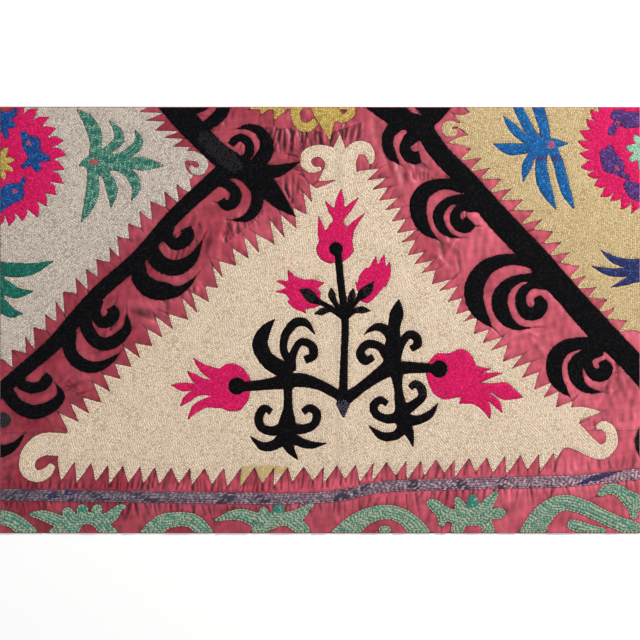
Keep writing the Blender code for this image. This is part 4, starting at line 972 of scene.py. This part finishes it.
def hex_points(low, high, pitch, jitter, keep):
    """Points in offset rows over a panel, apart from its rim."""
    xs = np.arange(low[0] + 0.6 * pitch, high[0] - 0.5 * pitch, pitch)
    ys = np.arange(low[1] + 0.6 * pitch, high[1] - 0.5 * pitch, 0.866 * pitch)
    x, y = np.meshgrid(xs, ys)
    x = x + (np.arange(len(ys)) % 2)[:, None] * pitch / 2
    x, y = x.ravel(), y.ravel()
    x = x + rng.uniform(-jitter, jitter, len(x)) * pitch
    y = y + rng.uniform(-jitter, jitter, len(y)) * pitch
    ok = (x < high[0] - 0.4 * pitch) & keep(x, y)
    return x[ok], y[ok]


def rim_points(low, high, pitch):
    """Points round the rim of a panel, counter-clockwise."""
    corners = [(low[0], low[1]), (high[0], low[1]), (high[0], high[1]), (low[0], high[1])]
    points = []
    for a, b in zip(corners, corners[1:] + corners[:1]):
        a, b = np.array(a), np.array(b)
        count = round(np.linalg.norm(b - a) / pitch)
        points.append(a + (b - a) * (np.arange(count) / count)[:, None])
    return np.concatenate(points)


def layer(rim, x, y):
    """Triangles over the rim's points and the inner ones, in that order."""
    points = [Vector(p) for p in rim] + [Vector(p) for p in zip(x, y)]
    edges = [(n, (n + 1) % len(rim)) for n in range(len(rim))]
    spots, _, faces, origin, _, _ = delaunay_2d_cdt(points, edges, [], 0, 1e-7, True)
    order = [o[0] for o in origin]
    return np.array([[order[v] for v in f] for f in faces if len(f) == 3])


def satin_panel(node):
    """One panel, with how far each point is from stitches and the painted shade of its creases and gathers.
    """
    low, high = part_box(node)
    low, high = np.array(low)[:2], np.array(high)[:2]

    def bare_near(x, y):
        return np.max([depth_at(grid, x, y) for grid in grids.values()], axis=0) < 2.5 * MM

    def covered_far(x, y):
        return ~bare_near(x, y)

    rim = rim_points(low, high, 2.6 * MM)
    fine = hex_points(low, high, 1.6 * MM, 0.12, bare_near)
    wide = hex_points(low, high, 7.0 * MM, 0.1, covered_far)
    x, y = np.concatenate([rim[:, 0], fine[0], wide[0]]), np.concatenate([rim[:, 1], fine[1], wide[1]])
    height, near, dark = satin_height(x, y)
    top_faces = layer(rim, x[len(rim):], y[len(rim):])
    height = relaxed(height, top_faces)
    ux, uy = hex_points(low, high, 8.0 * MM, 0.1, lambda x, y: x > -9)
    bx, by = np.concatenate([rim[:, 0], ux]), np.concatenate([rim[:, 1], uy])
    low_height = np.maximum(fold_height(bx, by) * 0.8 + SATIN_TOP - SATIN_THICK, 0.0)
    low_height = np.minimum(low_height, satin_height(bx, by)[0] - SATIN_THICK)
    low_height[:len(rim)] = height[:len(rim)] - SATIN_THICK
    low_faces = layer(rim, ux, uy)[:, ::-1] + len(x)
    count = len(rim)
    a = np.arange(count)
    b = (a + 1) % count
    sides = np.concatenate([np.stack([b, a, a + len(x)], 1), np.stack([b, a + len(x), b + len(x)], 1)])
    points = np.concatenate([np.stack([x, y, height], 1), np.stack([bx, by, low_height], 1)])
    near, dark = np.append(near, np.full(len(bx), 0.004)), np.append(dark, np.zeros(len(bx)))
    return points, np.concatenate([top_faces, low_faces, sides]), near, dark


def relaxed(height, faces):
    """Heights with each point drawn part of the way to the mean of its neighbours."""
    total, count = np.zeros(len(height)), np.zeros(len(height))
    for a, b in ((0, 1), (1, 2), (2, 0), (1, 0), (2, 1), (0, 2)):
        np.add.at(total, faces[:, a], height[faces[:, b]])
        np.add.at(count, faces[:, a], 1)
    return 0.7 * height + 0.3 * total / np.maximum(count, 1)


# %% [markdown]
# Satin has a long float of silk on its face. Its colour drifts slowly at random, and it is deeper at the left
# and along the stripe and paler at the right. Painted shade darkens its creases and a narrow band right
# beside the stitches, and painted highlight lightens the ridges. The weave is far finer than a pixel, so it
# is bump and gloss.

# %% Colour of the satin
# Spots of painted shade in creases and painted highlight on ridges and folds, and a few wider patches lighter
# or darker. Each row: grid column, row, half width, half height, heading in degrees, and brightness there
SHADES = [
    (209, 240, 5, 14, 75, 0.72), (219, 238, 4, 34, 88, 1.28), (143, 313, 16, 6, 20, 0.66),
    (74, 387, 8, 6, 40, 0.6), (418, 172, 20, 7, 150, 0.74), (392, 169, 9, 5, 100, 0.8),
    (620, 386, 20, 12, 60, 0.8), (455, 250, 5, 12, 60, 0.82), (482, 214, 14, 22, 60, 1.14),
    (440, 225, 18, 16, 30, 1.12), (530, 330, 16, 12, 40, 1.1), (340, 520, 60, 8, 0, 1.08),
    (120, 330, 14, 10, 140, 1.12), (312, 142, 54, 26, 0, 0.8), (330, 486, 330, 10, 1, 1.36),
]
SATIN_DEEP = linear(128, 34, 49)
SATIN_PALE = linear(192, 88, 104)


def satin_colours(x, y, near, dark):
    """The colour of the satin at points in metres: deep to pale across it, with slow random changes of
    brightness, painted shade in its creases, painted highlight on their ridges and a painted shadow right
    beside the stitches.
    """
    gx, gy = x / STEP + 320, 320 - y / STEP
    pale = 0.08 + 0.78 * gx / 640 - 0.08 * np.clip((gy - 440) / 60, 0, 1) + 0.18 * drift(x, y, 90 * MM, 14)
    pale = np.clip(pale, 0, 1)
    colours = SATIN_DEEP + (SATIN_PALE - SATIN_DEEP) * pale[:, None]
    bright = 1 + 0.14 * drift(x, y, 22 * MM, 31) + 0.08 * drift(x, 0.5 * y, 7 * MM, 33)
    for cx, cy, half_x, half_y, turn, most in SHADES:
        c, s = math.cos(math.radians(turn)), math.sin(math.radians(turn))
        dx, dy = gx - cx, cy - gy
        away = np.hypot((dx * c + dy * s) / half_x, (dy * c - dx * s) / half_y)
        bright = bright * (1 + (most - 1) * np.exp(-1.2 * away**2))
    # Painted shade in the creases and the troughs of the gathers, and painted highlight on their ridges
    bright = bright * (1 - 0.84 * np.clip(dark, 0, 1) ** 0.85) * (1 + 0.60 * np.clip(-dark, 0, 1))
    # A painted shadow in a narrow band right beside the stitches
    bright = bright * (1 - 0.6 * np.exp(-np.clip(near, 0, 1) / (1.1 * MM)))
    return np.clip(colours * bright[:, None], 0.002, 0.95)


# %% A shader for satin
def satin_material():
    """Glossy satin: the dyed colour with its painted shade, fine slubs across and along, and a sheen that
    follows the float.
    """
    made = bpy.data.materials.new("rose_satin")
    made.use_nodes = True
    tree = made.node_tree
    shader = tree.nodes["Principled BSDF"]
    shader.inputs["Roughness"].default_value = 0.40
    shader.inputs["Specular IOR Level"].default_value = 0.20
    shader.inputs["Anisotropic"].default_value = 0.45
    shader.inputs["Sheen Weight"].default_value = 0.05
    shader.inputs["Sheen Roughness"].default_value = 0.35
    shader.inputs["Sheen Tint"].default_value = (1.0, 0.72, 0.80, 1)
    dye_and_shade = tree.nodes.new("ShaderNodeAttribute")
    dye_and_shade.attribute_name = "dye_and_shade"
    where = tree.nodes.new("ShaderNodeTexCoord")
    across = tree.nodes.new("ShaderNodeMapping")
    across.inputs["Scale"].default_value = (60, 900, 60)
    along = tree.nodes.new("ShaderNodeMapping")
    along.inputs["Scale"].default_value = (1300, 90, 60)
    slub = node_into(tree, "ShaderNodeTexNoise", Scale=1.0, Detail=3.0)
    warp = node_into(tree, "ShaderNodeTexNoise", Scale=1.0, Detail=3.0)
    shade = node_into(tree, "ShaderNodeMapRange", To_Min=0.86, To_Max=1.14)
    both = tree.nodes.new("ShaderNodeMath")
    both.operation = "ADD"
    tinted = tree.nodes.new("ShaderNodeVectorMath")
    tinted.operation = "SCALE"
    bump = node_into(tree, "ShaderNodeBump", Strength=0.30, Distance=0.0002)
    join = tree.links.new
    join(where.outputs["Object"], across.inputs["Vector"])
    join(where.outputs["Object"], along.inputs["Vector"])
    join(across.outputs["Vector"], slub.inputs["Vector"])
    join(along.outputs["Vector"], warp.inputs["Vector"])
    join(slub.outputs["Fac"], both.inputs[0])
    join(warp.outputs["Fac"], both.inputs[1])
    join(both.outputs["Value"], bump.inputs["Height"])
    join(slub.outputs["Fac"], shade.inputs["Value"])
    join(dye_and_shade.outputs["Color"], tinted.inputs[0])
    join(shade.outputs["Result"], tinted.inputs["Scale"])
    join(tinted.outputs["Vector"], shader.inputs["Base Color"])
    join(bump.outputs["Normal"], shader.inputs["Normal"])
    return made


rose_satin = satin_material()

# %% Lay the four panels
PANELS = {
    "satin_upper_left": (0.479, 0.458), "satin_upper_right": (0.420, 0.455),
    "satin_lower_left": (0.479, 0.140), "satin_lower_right": (0.420, 0.143),
}
for node, flat in PANELS.items():
    points, faces, near, dark = satin_panel(node)
    satin_dye_and_shade = satin_colours(points[:, 0], points[:, 1], near, dark)
    cloth = mesh_object("cloth_" + node, points, faces, satin_dye_and_shade)
    cloth.data.materials.append(rose_satin)
    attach(cloth, "root")
    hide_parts(node)
    total += len(faces)
    print(cloth.name, len(faces), "triangles, height", round(1000 * points[:, 2].max(), 2), "mm")
print("triangles in all:", total)
